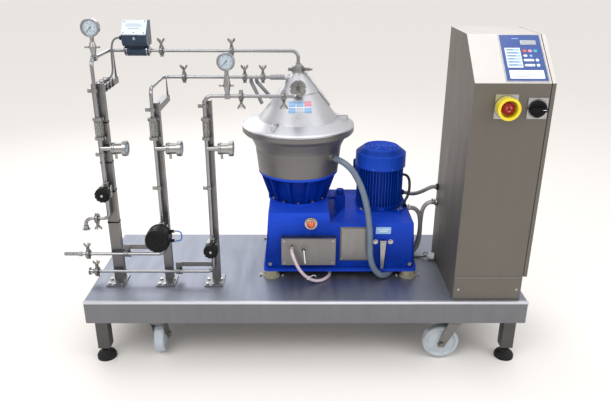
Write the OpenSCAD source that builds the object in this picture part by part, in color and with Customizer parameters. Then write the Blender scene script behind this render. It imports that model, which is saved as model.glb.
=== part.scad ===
// Disc-bowl cream separator with its motor, pipework and control cabinet on a wheeled skid.
// Every module draws in the deck frame: X along the skid from its middle, Y back from the
// front edge, Z up from the deck plate. place() moves it all to the floor-level origin.

/* [Skid] */
// Length of the deck
deck_l = 1800; // [1790:2:1810]
// Depth of the deck
deck_w = 650; // [646:2:654]
// Height of the deck plate above the floor
deck_h = 300; // [298:1:302]
// Height of the folded skirt
skirt_h = 98; // [90:2:100]
// Radius of the caster wheels
wheel_r = 75; // [72:1:76]

/* [Separator] */
// Place of the bowl axis along the skid
bowl_x = -34; // [-36:1:-32]
// Place of the bowl and motor axes behind the front edge
axis_y = 410; // [408:1:412]
// Outer radius of the hood rim
rim_r = 237; // [235:1:239]
// Place of the motor axis along the skid
motor_x = 325; // [324:1:326]
// Radius of the pulley on the spindle
spindle_pulley_r = 36; // [34:1:38]
// Radius of the pulley on the motor shaft
motor_pulley_r = 90; // [88:1:92]

/* [Pipework] */
// Outer radius of the product tube
tube_r = 7; // [6.5:0.25:7.5]
// Wall of the product tube
tube_wall = 1.5; // [1:0.25:2]
// Place of the first riser along the skid
riser_1 = -803; // [-806:1:-800]
// Place of the second riser along the skid
riser_2 = -592; // [-595:1:-589]
// Place of the third riser along the skid
riser_3 = -390; // [-393:1:-387]
// Distance of the risers behind the front edge
riser_y = 172; // [170:1:174]
// Reach of the hose tail to the left of the skid's middle
tail_reach = 1012; // [1005:1:1018]

/* [Cabinet] */
// Left side of the cabinet
cab_x = 592; // [590:1:594]
// Width of the cabinet shell without its door
cab_w = 274; // [272:1:274]
// Front face of the cabinet behind the front edge
cab_y = 20; // [20:1:22]
// Depth of the cabinet
cab_d = 430; // [425:1:432]
// Height of the cabinet
cab_h = 1030; // [1026:1:1032]
// Reach of the emergency stop collar in front of the cabinet
stop_reach = 45; // [42:1:46]

/* [Hidden] */
$fn = 48;

fit = 0.05;       // radial clearance of a running fit
gap = 0.3;        // clearance of a collar round a tube
sheet = 3;

// --- places -------------------------------------------------------------
shift_x = (tail_reach - deck_l / 2) / 2;
shift_y = -(deck_w + cab_y - stop_reach) / 2;
floor_z = -deck_h;
leg_x = 850;
leg_y = 60;
rail_h = 100;
rail_w = 50;
caster_x = 620;
caster_trail = 50;
wheel_lift = 3;
axle_z = floor_z + wheel_lift + wheel_r;
caster_plate_z = -sheet - rail_h - 6;
// kingpin places, and the way each caster trails: front left, front right, rear left, rear right
casters = [[-caster_x, leg_y, 90], [caster_x, leg_y, 180],
  [-caster_x, deck_w - leg_y, 180], [caster_x, deck_w - leg_y, 180]];
feet = [[-leg_x, leg_y], [leg_x, leg_y], [-leg_x, deck_w - leg_y], [leg_x, deck_w - leg_y]];

base_z = 30;
column_top = 302;
bench_top = 255;
base_front = 210;
base_back = 2 * axis_y - base_front;
casing_z = 436;
rim_z = 628;
cone_z = 662;
cone_r = 166;
cone_slope = 1.289;
neck_z = 847;
cap_z = 882;
function cone_at(r) = cone_z + (cone_r - r) * cone_slope;
union_y = 300;
union_z = 800;

upper_z = 935;
middle_z = 828;
front_z = 800;
middle_out_z = 131;
front_out_z = 49;
upper_out_z = 293;
bend_r = 28;
glass_low = 644;
glass_high = 702;
valve_z = [418, 243, 172];
riser_x = [riser_1, riser_2, riser_3];
port_h = 34;
meter_x = [-735, -640];
gauge_r = 33;
branch_h = 37;
// gauges: place of the dial's centre, and the height of the line below it
gauges = [[riser_1, 212, 1046, upper_z], [-302, riser_y, 930, front_z]];

cab_front_h = 881;
cab_slope_y = 194;
plinth_h = 104;
door_t = 14;
door_gap = 3;
door_x = cab_x + cab_w + door_gap;
hinge_x = door_x + door_t + 3;
hinge_y = cab_y + cab_d + 2;
stop_at = [712, 797];
switch_at = [826, 791];
lever_at = [326, 166];

// --- routes of the hoses and cables --------------------------------------
casing_route = [[112.2, 278.5, 518], [131, 261, 517], [158, 240, 508], [187, 222, 484], [211, 209, 446],
  [231, 199, 400], [247, 190, 345], [257, 184, 290], [264, 180, 235], [267, 178, 180],
  [270, 177, 125], [280, 178, 80], [298, 181, 45], [321, 187, 22.5], [345, 204, 14.5],
  [366, 233, 14.5], [378, 274, 14.5]];
drain_route = [[-60, 170, 155], [-60, 150, 154], [-56, 134, 145], [-47, 127, 122], [-35, 126, 94],
  [-18, 130, 65], [4, 137, 39], [32, 148, 18], [62, 163, 9.5], [86, 184, 9.5], [100, 210, 9.5],
  [104, 240, 9.5], [100, 270, 9.5]];
cabinet_route = [[581.7, 434, 262], [562, 435, 260], [545, 438, 248], [535, 443, 226], [531, 448, 195],
  [530, 452, 155], [530, 456, 115], [528, 460, 78], [521, 462, 46], [507, 463, 24],
  [488, 464, 13.5], [464, 465, 13.5]];
side_route = [[463.3, 425, 236], [480, 425, 237], [500, 425, 228], [514, 425, 208], [521, 425, 180],
  [524, 425, 145], [524, 425, 105], [521, 424, 70], [513, 422, 42], [499, 420, 23],
  [482, 419, 13.5], [462, 418, 13.5]];
meter_cable_route = [[-753.7, 400, 986], [-766, 400, 985], [-779, 398, 975], [-786, 394, 955],
  [-788, 388, 925], [-789, 386, 895], [-790, 386, 868], [-792, 380, 847], [-796, 364, 835],
  [-799, 338, 832.4], [-800, 300, 832.4], [-800, 260, 832.4], [-800, 224, 832.4]];
plug_route = [[468, 392, 5], [490, 396, 4.6], [512, 397, 4.6], [532, 391, 6], [546, 384, 11], [558, 380, 16.4]];
motor_cable_route = [[424.6, 434.9, 392], [440, 438, 391], [453, 438, 383], [461, 434, 367],
  [463, 427, 344], [460, 418, 318], [453, 409, 298], [443, 401, 282], [440, 398, 267.3]];
conduit_route = [[581.7, 434, 335], [566, 435, 334], [550, 440, 325], [532, 451, 310], [514, 468, 294],
  [497, 489, 281], [482, 511, 273], [467, 531, 270], [450.3, 536, 270]];

// --- helpers --------------------------------------------------------------
module place() translate([shift_x, shift_y, deck_h]) children();
module steel() color([0.72, 0.72, 0.73]) children();
module blue() color([0.07, 0.18, 0.62]) children();
module black() color([0.08, 0.08, 0.09]) children();

function unit(v) = v / norm(v);
function side_of(d) = unit(cross(abs(d[2]) < 0.9 ? [0, 0, 1] : [1, 0, 0], d));
// Moves its children so that their Z axis runs from point p along d
module along(p, d) {
  w = unit(d);
  u = side_of(w);
  v = cross(w, u);
  multmatrix([[u[0], v[0], w[0], p[0]], [u[1], v[1], w[1], p[1]], [u[2], v[2], w[2], p[2]], [0, 0, 0, 1]])
    children();
}
module rod(a, b, r) along(a, b - a) cylinder(r = r, h = norm(b - a));
function turn(a, b, c) = acos(unit(b - a) * unit(c - b));
function trim(pts, i, big_r) = (i == 0 || i == len(pts) - 1) ? 0
  : big_r * tan(turn(pts[i - 1], pts[i], pts[i + 1]) / 2);
// A bend at b of the section that is its child
module elbow(a, b, c, big_r) {
  d = unit(b - a);
  n = unit(cross(d, c - b));
  m = cross(n, d);
  t = big_r * tan(turn(a, b, c) / 2);
  o = b - d * t + m * big_r;
  multmatrix([[-m[0], d[0], n[0], o[0]], [-m[1], d[1], n[1], o[1]], [-m[2], d[2], n[2], o[2]], [0, 0, 0, 1]])
    rotate_extrude(angle = turn(a, b, c)) translate([big_r, 0]) children();
}
// A round bar that follows points, with a bend of radius big_r at each inner point
module bent_bar(pts, big_r, r) {
  last = len(pts) - 1;
  for (i = [0 : last - 1]) {
    d = unit(pts[i + 1] - pts[i]);
    rod(pts[i] + d * trim(pts, i, big_r), pts[i + 1] - d * trim(pts, i + 1, big_r), r);
  }
  if (last > 1) for (i = [1 : last - 1]) elbow(pts[i - 1], pts[i], pts[i + 1], big_r) circle(r = r);
}
// A length of hollow tube from a to b
module tube_run(a, b, r) along(a, b - a) linear_extrude(norm(b - a)) ring_2d(r);
module ring_2d(r) difference() {
  circle(r = r);
  circle(r = r - tube_wall);
}
// A hollow tube along points, with a bend of radius big_r at each inner point
module pipe(pts, big_r = bend_r, r = tube_r) {
  last = len(pts) - 1;
  for (i = [0 : last - 1]) {
    d = unit(pts[i + 1] - pts[i]);
    tube_run(pts[i] + d * trim(pts, i, big_r), pts[i + 1] - d * trim(pts, i + 1, big_r), r);
  }
  // the bends are welded fittings, a little thicker than the tube inside and out
  if (last > 1) for (i = [1 : last - 1]) elbow(pts[i - 1], pts[i], pts[i + 1], big_r) difference() {
    circle(r = r + 0.3);
    circle(r = r - tube_wall - 0.2);
  }
}
// A collar, cone or flange (the children) round a tube that runs from a to b
module on_tube(a, b) difference() {
  children();
  rod(a, b, tube_r + fit);
}
module round_2d(w, d, r) {
  translate([r, 0]) square([w - 2 * r, d]);
  translate([0, r]) square([w, d - 2 * r]);
  for (x = [r, w - r], y = [r, d - r]) translate([x, y]) circle(r = r);
}
// A plate with rounded corners, from one low corner
module round_plate(p, w, d, h, r) translate(p) linear_extrude(h) round_2d(w, d, r);
module box(a, b) translate(a) cube(b - a);
// An outline in Y and Z, extruded from x0 to x1
module profile_x(x0, x1, pts) translate([x0, 0, 0]) rotate([90, 0, 90]) linear_extrude(x1 - x0) polygon(pts);
// An outline in X and Z, extruded from y0 to y1
module profile_y(y0, y1, pts) translate([0, y1, 0]) rotate([90, 0, 0]) linear_extrude(y1 - y0) polygon(pts);
module bolt(p, d, r = 8, h = 6) along(p, d) {
  cylinder(r = r + 3, h = 2);
  translate([0, 0, 2]) cylinder(r = r, h = h, $fn = 6);
}

// Sweeps a round section along smoothed points as one closed mesh
function spline(p, i, t) = let (a = p[max(i - 1, 0)], b = p[i], c = p[i + 1], d = p[min(i + 2, len(p) - 1)])
  0.5 * (2 * b + (c - a) * t + (2 * a - 5 * b + 4 * c - d) * t * t + (3 * b - a - 3 * c + d) * t * t * t);
function smooth(p, n) = [for (i = [0 : len(p) - 2], k = [0 : n - 1]) spline(p, i, k / n), p[len(p) - 1]];
function tangent(q, i) = unit(q[min(i + 1, len(q) - 1)] - q[max(i - 1, 0)]);
function carried(q, i, u) = let (w = tangent(q, i)) unit(u - w * (u * w));
function sides(q, i = 0, out = []) = i == len(q) ? out
  : sides(q, i + 1, concat(out, [carried(q, i, i == 0 ? side_of(tangent(q, 0)) : out[i - 1])]));
module cord(route, r, steps, facets) {
  q = smooth(route, steps);
  u = sides(q);
  rings = len(q);
  pts = [for (i = [0 : rings - 1], k = [0 : facets - 1]) let (v = cross(tangent(q, i), u[i]),
    a = 360 * k / facets) q[i] + r * (cos(a) * u[i] + sin(a) * v)];
  walls = [for (i = [0 : rings - 2], k = [0 : facets - 1]) let (n = (k + 1) % facets)
    [i * facets + k, (i + 1) * facets + k, (i + 1) * facets + n, i * facets + n]];
  ends = [[for (k = [0 : facets - 1]) k], [for (k = [facets - 1 : -1 : 0]) (rings - 1) * facets + k]];
  polyhedron(pts, concat(walls, ends));
}

// --- skid -------------------------------------------------------------------
module folded(l, w, h, r, drop) intersection() {
  round_plate([-l / 2, 0, -h], l, w, h, r);
  rotate([90, 0, 90]) translate([0, 0, -l / 2]) linear_extrude(l) edge_2d(w, h, drop);
  translate([-l / 2, w, 0]) rotate([90, 0, 0]) linear_extrude(w) edge_2d(l, h, drop);
}
module edge_2d(w, h, r) {
  translate([0, -h]) square([w, h - r]);
  translate([r, -h]) square([w - 2 * r, h]);
  for (x = [r, w - r]) translate([x, -r]) circle(r = r);
}
module skid_deck() steel() difference() {
  folded(deck_l, deck_w, skirt_h, 9, 8);
  translate([0, sheet, -sheet]) folded(deck_l - 2 * sheet, deck_w - 2 * sheet, skirt_h, 6, 5);
}
module tube_box(a, b, wall = 3) difference() {
  box(a, b);
  box(a + [wall, wall, wall], b - [wall, wall, wall]);
}
module skid_frame() color([0.62, 0.62, 0.63]) {
  for (y = [leg_y, deck_w - leg_y]) {
    tube_box([-leg_x + 25, y - rail_w / 2, -sheet - rail_h], [leg_x - 25, y + rail_w / 2, -sheet]);
    for (x = [-leg_x, leg_x]) difference() {
      box([x - 25, y - 25, floor_z + 55], [x + 25, y + 25, -sheet]);
      box([x - 22, y - 22, floor_z + 61], [x + 22, y + 22, -sheet - 6]);
      translate([x, y, floor_z + 50]) cylinder(r = 8 + fit, h = 20);
    }
  }
  for (x = [-420, 0, 420])
    tube_box([x - 25, leg_y + rail_w / 2, -sheet - 50], [x + 25, deck_w - leg_y - rail_w / 2, -sheet]);
  for (c = casters) difference() {
    box([c[0] - 50, c[1] - 42, caster_plate_z], [c[0] + 50, c[1] + 42, caster_plate_z + 6]);
    translate([c[0], c[1], caster_plate_z - 1]) cylinder(r = 8 + fit, h = 20);
  }
}
module caster_fork(i) steel() translate([casters[i][0], casters[i][1], 0]) rotate(casters[i][2]) {
  top = caster_plate_z - gap;
  translate([0, 0, top - 4]) cylinder(r = 8, h = 9);
  translate([0, 0, top - 14]) cylinder(r = 34, h = 12);
  translate([0, 0, top - 4]) cylinder(r = 22, h = 4);
  for (s = [-1, 1]) translate([0, s * 28, 0]) rotate([90, 0, 0]) translate([0, 0, -2]) linear_extrude(4)
    polygon([[-26, top - 14], [-12, top - 30], [caster_trail - 17, axle_z - 4],
      [caster_trail - 13, axle_z - 15], [caster_trail + 13, axle_z - 15],
      [caster_trail + 17, axle_z], [34, top - 30], [26, top - 8], [-26, top - 8]]);
  translate([caster_trail, 36, axle_z]) rotate([90, 0, 0]) cylinder(r = 6, h = 72);
  for (s = [-1, 1]) translate([caster_trail, s * 30, axle_z]) rotate([-90 * s, 0, 0])
    cylinder(r = 11, h = 8, $fn = 6);
}
module caster_wheel(i) color([0.9, 0.9, 0.88]) translate([casters[i][0], casters[i][1], 0])
  rotate(casters[i][2]) translate([caster_trail, 0, axle_z]) rotate([90, 0, 0]) rotate_extrude()
  polygon([[6 + fit, -24], [16, -24], [18, -16], [56, -13], [62, -20], [70, -20], [wheel_r, -14],
    [wheel_r, 14], [70, 20], [62, 20], [56, 13], [18, 16], [16, 24], [6 + fit, 24]]);
module levelling_foot(i) black() translate([feet[i][0], feet[i][1], floor_z]) {
  rotate_extrude() polygon([[0, 0], [40, 0], [40, 12], [36, 20], [22, 30], [19, 42], [0, 42]]);
  translate([0, 0, 42]) cylinder(r = 14, h = 8, $fn = 6);
  translate([0, 0, 50]) cylinder(r = 8, h = 40);
}

// --- separator machine -------------------------------------------------------
module base_plan(x0, x1, grow, h0, h1) round_plate([x0 - grow, base_front - grow, h0],
  x1 - x0 + 2 * grow, base_back - base_front + 2 * grow, h1 - h0, 18);
module machine_base() blue() difference() {
  union() {
    intersection() {
      base_plan(-176, 142, 0, base_z, column_top);
      profile_y(base_front - 1, base_back + 1,
        [[-176, base_z], [-174, 70], [-158, column_top], [95, column_top], [118, 120], [142, base_z]]);
    }
    intersection() {
      base_plan(60, 468, 0, base_z, bench_top);
      profile_y(base_front - 1, base_back + 1,
        [[60, base_z], [60, bench_top], [452, bench_top], [468, base_z]]);
    }
    base_plan(-178, 472, 4, base_z, base_z + 22);
    translate([440, 398, bench_top]) cylinder(r = 9, h = 12, $fn = 6);
    along([448, 425, 236], [1, 0, 0]) cylinder(r = 13, h = 15, $fn = 6);
    valve_block();
  }
  box([-148, base_front + 10, base_z - 1], [84, base_back - 10, column_top - 10]);
  box([60, base_front + 10, base_z - 1], [438, base_back - 10, bench_top - 10]);
  translate([bowl_x, axis_y, 200]) cylinder(r = 60, h = 150);
  translate([motor_x, axis_y, 200]) cylinder(r = 70, h = 100);
}
foot_x = [-150, 444];
module machine_feet() for (x = foot_x, y = [base_front + 16, base_back - 16]) translate([x, y, 0]) {
  color([0.82, 0.78, 0.62]) translate([0, 0, 9]) cylinder(r = 30, h = base_z - 9, $fn = 8);
  black() cylinder(r = 36, h = 9);
}
module pedestal() blue() translate([bowl_x, axis_y, 0]) {
  rotate_extrude() polygon([[90, column_top], [132, column_top], [132, column_top + 10], [110, column_top + 10],
    [128, casing_z - 14], [172, casing_z - 10], [172, casing_z], [118, casing_z], [104, column_top + 20],
    [90, column_top + 10]]);
  for (a = [15 : 30 : 345]) rotate(a) translate([0, 4, 0]) rotate([90, 0, 0]) linear_extrude(8)
    polygon([[108, column_top + 8], [128, column_top + 8], [168, casing_z - 8], [122, casing_z - 8]]);
}
spout_a = -42;
spout_z = 518;
module bowl_casing() color([0.66, 0.66, 0.66]) translate([bowl_x, axis_y, 0]) difference() {
  union() {
    rotate_extrude() polygon([[52, casing_z], [172, casing_z], [173, casing_z + 2], [184, 540], [190, 556],
      [206, 588], [214, 595], [231, 602], [rim_r, 609], [rim_r, rim_z], [204, rim_z], [204, 606],
      [197, 594], [180, 552], [168, casing_z + 14], [52, casing_z + 8]]);
    rotate(spout_a) translate([174, 0, spout_z]) rotate([0, 90, 0]) cylinder(r = 15, h = 22);
  }
  rotate(spout_a) translate([160, 0, spout_z]) rotate([0, 90, 0]) cylinder(r = 10, h = 60);
}
module hood_loop(a) rotate(a)
  bent_bar([[160, 0, 668], [208, 0, 668], [208, 0, 636]], 6, 4);
module hood() color([0.8, 0.8, 0.81]) translate([bowl_x, axis_y, 0]) {
  difference() {
    union() {
      rotate_extrude() polygon([[204, rim_z], [rim_r, rim_z], [rim_r, rim_z + 7], [228, rim_z + 12],
        [cone_r + 2, cone_z - 1], [82, cone_at(82)], [82, cone_at(82) + 4], [25, cone_at(25) + 4],
        [24, neck_z], [24, cap_z - 14], [20, cap_z - 14], [20, cone_at(20) - 6], [cone_r - 5, cone_z - 8],
        [204, rim_z + 8]]);
      for (a = [0, 120, 240]) hood_loop(a);
      translate([0, 0, middle_z]) rotate([0, -90, 0]) translate([0, 0, 26]) cylinder(r = 12, h = 30);
      translate([0, -30, union_z]) rotate([90, 0, 0]) cylinder(r = 24, h = axis_y - union_y - 50);
    }
    translate([0, 0, middle_z]) rotate([0, -90, 0]) cylinder(r = 8, h = 80);
    translate([0, 0, union_z]) rotate([90, 0, 0]) cylinder(r = 5.5, h = 140);
    translate([0, 0, cone_at(25)]) cylinder(r = 17, h = 60);
  }
  rod([30, 0, neck_z + 1], [134, 0, cone_at(134) + 8], 5);
}
module solenoid_box() steel() difference() {
  union() {
    box([-104, base_front - 34, 76], [124, base_front, 200]);
    for (x = [-60, -10]) along([x, base_front - 34, 155], [0, -1, 0]) cylinder(r = 10, h = 6);
  }
  box([-101, base_front - 31, 79], [121, base_front - 3, 197]);
  along([-60, base_front - 20, 155], [0, -1, 0]) cylinder(r = 7.4, h = 40);
}
module oil_sight_glass() color([0.75, 0.62, 0.5]) along([20, base_front, 256], [0, -1, 0]) {
  cylinder(r = 26, h = 8);
  translate([0, 0, 8]) cylinder(r = 21, h = 6);
}
module motor_housing() blue() translate([motor_x, axis_y, 0]) {
  fan_cowl();
  motor_body();
}
module motor_body() difference() {
  union() {
    round_plate([-100, -100, bench_top], 200, 200, 16, 34);
    translate([0, 0, bench_top + 16]) cylinder(r = 90, h = 191);
    translate([0, 0, bench_top + 30]) linear_extrude(170) for (a = [0 : 7.5 : 352.5]) if (a < 97 || a > 143)
      rotate(a) translate([86, -1.2]) square([15, 2.4]);
    for (z = [bench_top + 16, 446]) translate([0, 0, z]) cylinder(r = 101, h = 16);
    rotate(120) box([84, -46, 350], [132, 46, 442]);
    rotate(14) along([85, 0, 392], [1, 0, 0]) cylinder(r = 11, h = 17, $fn = 6);
  }
  translate([0, 0, bench_top + 32]) cylinder(r = 62, h = 148);
  translate([0, 0, bench_top - 1]) cylinder(r = 14 + fit, h = 230);
}
module fan_cowl() difference() {
  rotate_extrude() polygon([[101.3, 448], [106, 448], [108, 452], [108, 508], [77, 533], [0, 533], [0, 530],
    [75.5, 530], [105, 506.5], [105, 462.3], [101.3, 462.3]]);
  for (i = [1 : 7]) translate([0, 0, 525]) linear_extrude(12) difference() {
    circle(r = 8 + 9 * i);
    circle(r = 3 + 9 * i);
    for (a = [0, 60, 120]) rotate(a) translate([-80, -3]) square([160, 6]);
  }
}
module spindle_bearings() steel() translate([bowl_x, axis_y, 0]) difference() {
  union() {
    translate([0, 0, 165]) cylinder(r = 50, h = column_top - 165);
    translate([0, 0, column_top]) cylinder(r = 84, h = 10);
    translate([0, 0, column_top + 10]) cylinder(r = 40, h = 50);
  }
  translate([0, 0, 160]) cylinder(r = 20 + fit, h = 260);
}
belt_z = 100;
belt_h = 44;
module drive_belt() black() translate([0, 0, belt_z + 2]) linear_extrude(belt_h - 4) difference() {
  belt_2d(3.2);
  belt_2d(0.6);
}
module belt_2d(grow) hull() {
  translate([bowl_x, axis_y]) circle(r = spindle_pulley_r + grow, $fn = 64);
  translate([motor_x, axis_y]) circle(r = motor_pulley_r + grow, $fn = 96);
}
module valve_block() {
  box([128, 358, bench_top], [172, 414, 322]);
  translate([150, 386, 322]) cylinder(r = 16, h = 20);
  rod([128, 388, 300], [98.3, 388, 300], 7);
  // junction box behind the motor, where the conduit ends
  round_plate([408, 515, bench_top], 42, 42, 32, 4);
}
// --- bowl, spindle and motor shaft ---------------------------------------------
module bowl_shell() steel() translate([bowl_x, axis_y, 0]) rotate_extrude()
  polygon([[12.05, 468], [60, 462], [120, 470], [148, 500], [150, 510], [150, 572], [140, 590], [44, 700],
    [34, 716], [28, 716], [28, 700], [128, 586], [138, 568], [138, 512], [116, 482], [60, 474], [12.05, 480]]);
module disc_stack() color([0.85, 0.85, 0.86]) translate([bowl_x, axis_y, 0]) {
  rotate_extrude() polygon([[16, 505], [34, 482], [38, 482], [38, 505], [24, 520], [24, 672], [16, 672]]);
  for (i = [0 : 15]) translate([0, 0, 500 + 6 * i]) rotate_extrude()
    polygon([[30, 70], [104, 0], [104, 1.6], [30, 71.6]]);
}
module spindle() steel() translate([bowl_x, axis_y, 0]) rotate_extrude()
  polygon([[0, 84], [16, 84], [16, belt_z], [spindle_pulley_r, belt_z], [spindle_pulley_r, belt_z + belt_h],
    [20, belt_z + belt_h], [20, 400], [12, 440], [12, 504], [0, 504]]);
module motor_rotor() color([0.5, 0.5, 0.52]) translate([motor_x, axis_y, 0]) {
  rotate_extrude() polygon([[0, 84], [12, 84], [12, belt_z], [motor_pulley_r, belt_z],
    [motor_pulley_r, belt_z + belt_h], [30, belt_z + belt_h], [30, belt_z + 60], [14, belt_z + 60],
    [14, 296], [55, 296], [55, 424], [14, 424], [14, 474], [22, 474], [22, 482], [92, 482], [92, 486],
    [22, 486], [22, 502], [0, 502]]);
  for (a = [0 : 45 : 315]) rotate(a) box([26, -1.5, 485], [88, 1.5, 500]);
}
module brake_lever() color([0.75, 0.76, 0.78]) {
  difference() {
    profile_y(base_front - 14, base_front - 8, [[lever_at[0] - 6, lever_at[1] - 118],
      [lever_at[0] + 5, lever_at[1] - 118], [lever_at[0] + 13, lever_at[1] + 14],
      [lever_at[0] - 13, lever_at[1] + 14]]);
    along([lever_at[0], base_front, lever_at[1]], [0, -1, 0]) cylinder(r = 5 + fit, h = 20);
  }
  along([lever_at[0], base_front - 0.4, lever_at[1]], [0, -1, 0]) difference() {
    cylinder(r = 9, h = 14);
    cylinder(r = 5 + fit, h = 14);
  }
}

// --- pipework -----------------------------------------------------------------
// The open end of a line: a wide ferrule with a short neck
module end_ferrule(p, d) along(p, d) {
  cylinder(r = 17, h = 4);
  cylinder(r = 11, h = 18);
}
// The branch for an instrument: a block bored for the tube, with a cone that widens to a flange
module branch(p, d, h) {
  difference() {
    translate(p) linear_extrude(20, center = true) square(20, center = true);
    rod(p - d * 30, p + d * 30, tube_r + fit);
  }
  translate(p + [0, 0, 10]) cylinder(r1 = 8.5, r2 = 13, h = h - 10);
}
module pipe_clamp(p, d, side = [0, 0, 1]) {
  w = unit(d);
  r = tube_r + gap;
  difference() {
    union() {
      along(p - w * 11, w) cylinder(r = 11, h = 22);
      along(p - w * 5, w) cylinder(r = 17, h = 10);
      along(p + side * 10, side) cylinder(r = 5, h = 22);
      along(p + side * 30, side) cylinder(r = 7, h = 6, $fn = 6);
      along(p + side * 33, side) wing();
    }
    along(p - w * 20, w) cylinder(r = r, h = 40);
  }
}
module wing() for (s = [-1, 1]) rotate([0, s * 24, 0]) translate([s * 6 - 2, -2, 0]) cube([4, 4, 18]);
module upper_line() steel() {
  x = riser_1;
  pipe([[x, riser_y, glass_high + 18], [x, riser_y, upper_z], [x, axis_y, upper_z],
    [meter_x[0], axis_y, upper_z]]);
  branch([x, gauges[0][1], upper_z], [0, 1, 0], branch_h);
  pipe([[meter_x[1], axis_y, upper_z], [bowl_x, axis_y, upper_z], [bowl_x, axis_y, cap_z - 14]]);
  // cap that closes the neck of the hood
  on_tube([bowl_x, axis_y, cap_z - 30], [bowl_x, axis_y, cap_z + 30]) translate([bowl_x, axis_y, cap_z - 14]) {
    cylinder(r = 24, h = 6);
    translate([0, 0, 6]) cylinder(r1 = 20, r2 = 11, h = 12);
  }
  pipe([[x, riser_y, glass_low - 18], [x, riser_y, valve_z[0] + port_h]]);
  end = [-906, riser_y, 245];
  pipe([[x, riser_y, valve_z[0] - port_h], [x, riser_y, upper_out_z], [end[0], riser_y, upper_out_z], end]);
  on_tube(end - [0, 0, 1], end + [0, 0, 60]) end_ferrule(end, [0, 0, 1]);
}
module middle_line() steel() {
  x = riser_2;
  pipe([[x, riser_y, glass_high + 18], [x, riser_y, middle_z], [x, axis_y, middle_z],
    [bowl_x - 56, axis_y, middle_z]]);
  on_tube([-200, axis_y, middle_z], [0, axis_y, middle_z])
    rod([-150, axis_y, middle_z], [bowl_x - 56, axis_y, middle_z], 11);
  pipe([[x, riser_y, glass_low - 18], [x, riser_y, valve_z[1] + port_h]]);
  end = [-tail_reach, riser_y, middle_out_z];
  pipe([[x, riser_y, valve_z[1] - port_h], [x, riser_y, middle_out_z], end]);
  on_tube(end - [1, 0, 0], end + [200, 0, 0]) {
    for (i = [0 : 3]) along(end + [14 * i, 0, 0], [1, 0, 0])
      cylinder(r1 = tube_r + 0.2, r2 = tube_r + 1.8, h = 12);
    along(end + [60, 0, 0], [1, 0, 0]) cylinder(r = 11, h = 14, $fn = 6);
  }
  // two flushing tubes from the middle line down to the back of the hood
  for (f = flushing)
    pipe([[f[0], axis_y + tube_r + 8, middle_z], [f[0], f[1], middle_z - 26], [f[2], f[3], f[4]]], 20, 8);
}
// flushing tubes: place on the line, first bend behind it, and end above the hood
flushing = [[-232, 440, -190, 462, 706], [-208, 446, -150, 476, 728]];
module front_line() steel() {
  x = riser_3;
  mouth = [bowl_x, union_y + 20, front_z];
  pipe([[x, riser_y, glass_high + 18], [x, riser_y, front_z], [bowl_x, riser_y, front_z], mouth]);
  on_tube(mouth - [0, 30, 0], mouth + [0, 10, 0]) along(mouth, [0, -1, 0]) cylinder(r = 23, h = 8);
  branch([gauges[1][0], gauges[1][1], front_z], [1, 0, 0], branch_h);
  pipe([[x, riser_y, glass_low - 18], [x, riser_y, valve_z[2] + port_h]]);
  end = [-918, riser_y, front_out_z];
  pipe([[x, riser_y, valve_z[2] - port_h], [x, riser_y, front_out_z], end]);
  on_tube(end - [1, 0, 0], end + [60, 0, 0]) end_ferrule(end, [1, 0, 0]);
}
module pipe_clamps() steel() {
  up = [0, 0, 1];
  pipe_clamp([-857, riser_y, upper_out_z], [1, 0, 0], -up);
  pipe_clamp([-590, axis_y, upper_z], [1, 0, 0], up);
  pipe_clamp([-305, axis_y, upper_z], [1, 0, 0], up);
  pipe_clamp([-505, axis_y, middle_z], [1, 0, 0], up);
  pipe_clamp([-180, axis_y, middle_z], [1, 0, 0], up);
  pipe_clamp([-255, axis_y, middle_z], [1, 0, 0], up);
  pipe_clamp([-250, riser_y, front_z], [1, 0, 0], -up);
  pipe_clamp([-913, riser_y, middle_out_z], [1, 0, 0], up);
  pipe_clamp([-885, riser_y, front_out_z], [1, 0, 0], up);
  pipe_clamp([-88, riser_y, front_z], [1, 0, 0], -up);
  // neck clamp of the hood, with its wing nut to the right
  translate([bowl_x, axis_y, neck_z + 6]) difference() {
    union() {
      cylinder(r = 30, h = 14);
      box([26, -6, 1], [44, 6, 13]);
      box([-42, -6, 1], [-26, 6, 13]);
      along([40, 0, 7], [1, 0, 0]) cylinder(r = 7, h = 8, $fn = 6);
      along([44, 0, 7], [1, 0, 0]) wing();
    }
    translate([0, 0, -1]) cylinder(r = 24 + gap, h = 20);
  }
  // slotted ring nut of the front union
  translate([bowl_x, union_y, union_z]) rotate([-90, 0, 0]) difference() {
    union() {
      cylinder(r = 33, h = 22);
      translate([0, 0, 22]) cylinder(r = 27, h = 6);
    }
    translate([0, 0, -1]) cylinder(r = tube_r + gap, h = 40);
    translate([0, 0, 6]) cylinder(r = 24 + gap, h = 40);
    for (a = [0 : 90 : 270]) rotate(a) translate([29, -5, -1]) cube([8, 10, 30]);
  }
  // saddle clips that hold the risers to their stands
  for (c = [[0, 812], [0, 560], [1, 740], [1, 420], [2, 755], [2, 420]]) riser_clip(riser_x[c[0]], c[1]);
}
module riser_clip(x, z) difference() {
  union() {
    translate([x, riser_y, z]) cylinder(r = 11, h = 14);
    box([x - 26, riser_y - 5, z], [x, riser_y + 5, z + 14]);
    box([x - 4, riser_y, z], [x + 4, stand_y, z + 14]);
  }
  translate([x, riser_y, z - 1]) cylinder(r = tube_r + gap, h = 16);
}
stand_y = riser_y + 18;
stand_w = [44, 34, 34];
stand_right = [26, 22, 22];
stand_top = [842, 768, 778];
arm_z = [828, 752];
module channel(x0, x1, z0, z1) difference() {
  box([x0, stand_y, z0], [x1, stand_y + 28, z1]);
  box([x0 + 3, stand_y + 3, z0 - 1], [x1 - 3, stand_y + 30, z1 + 1]);
}
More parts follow.
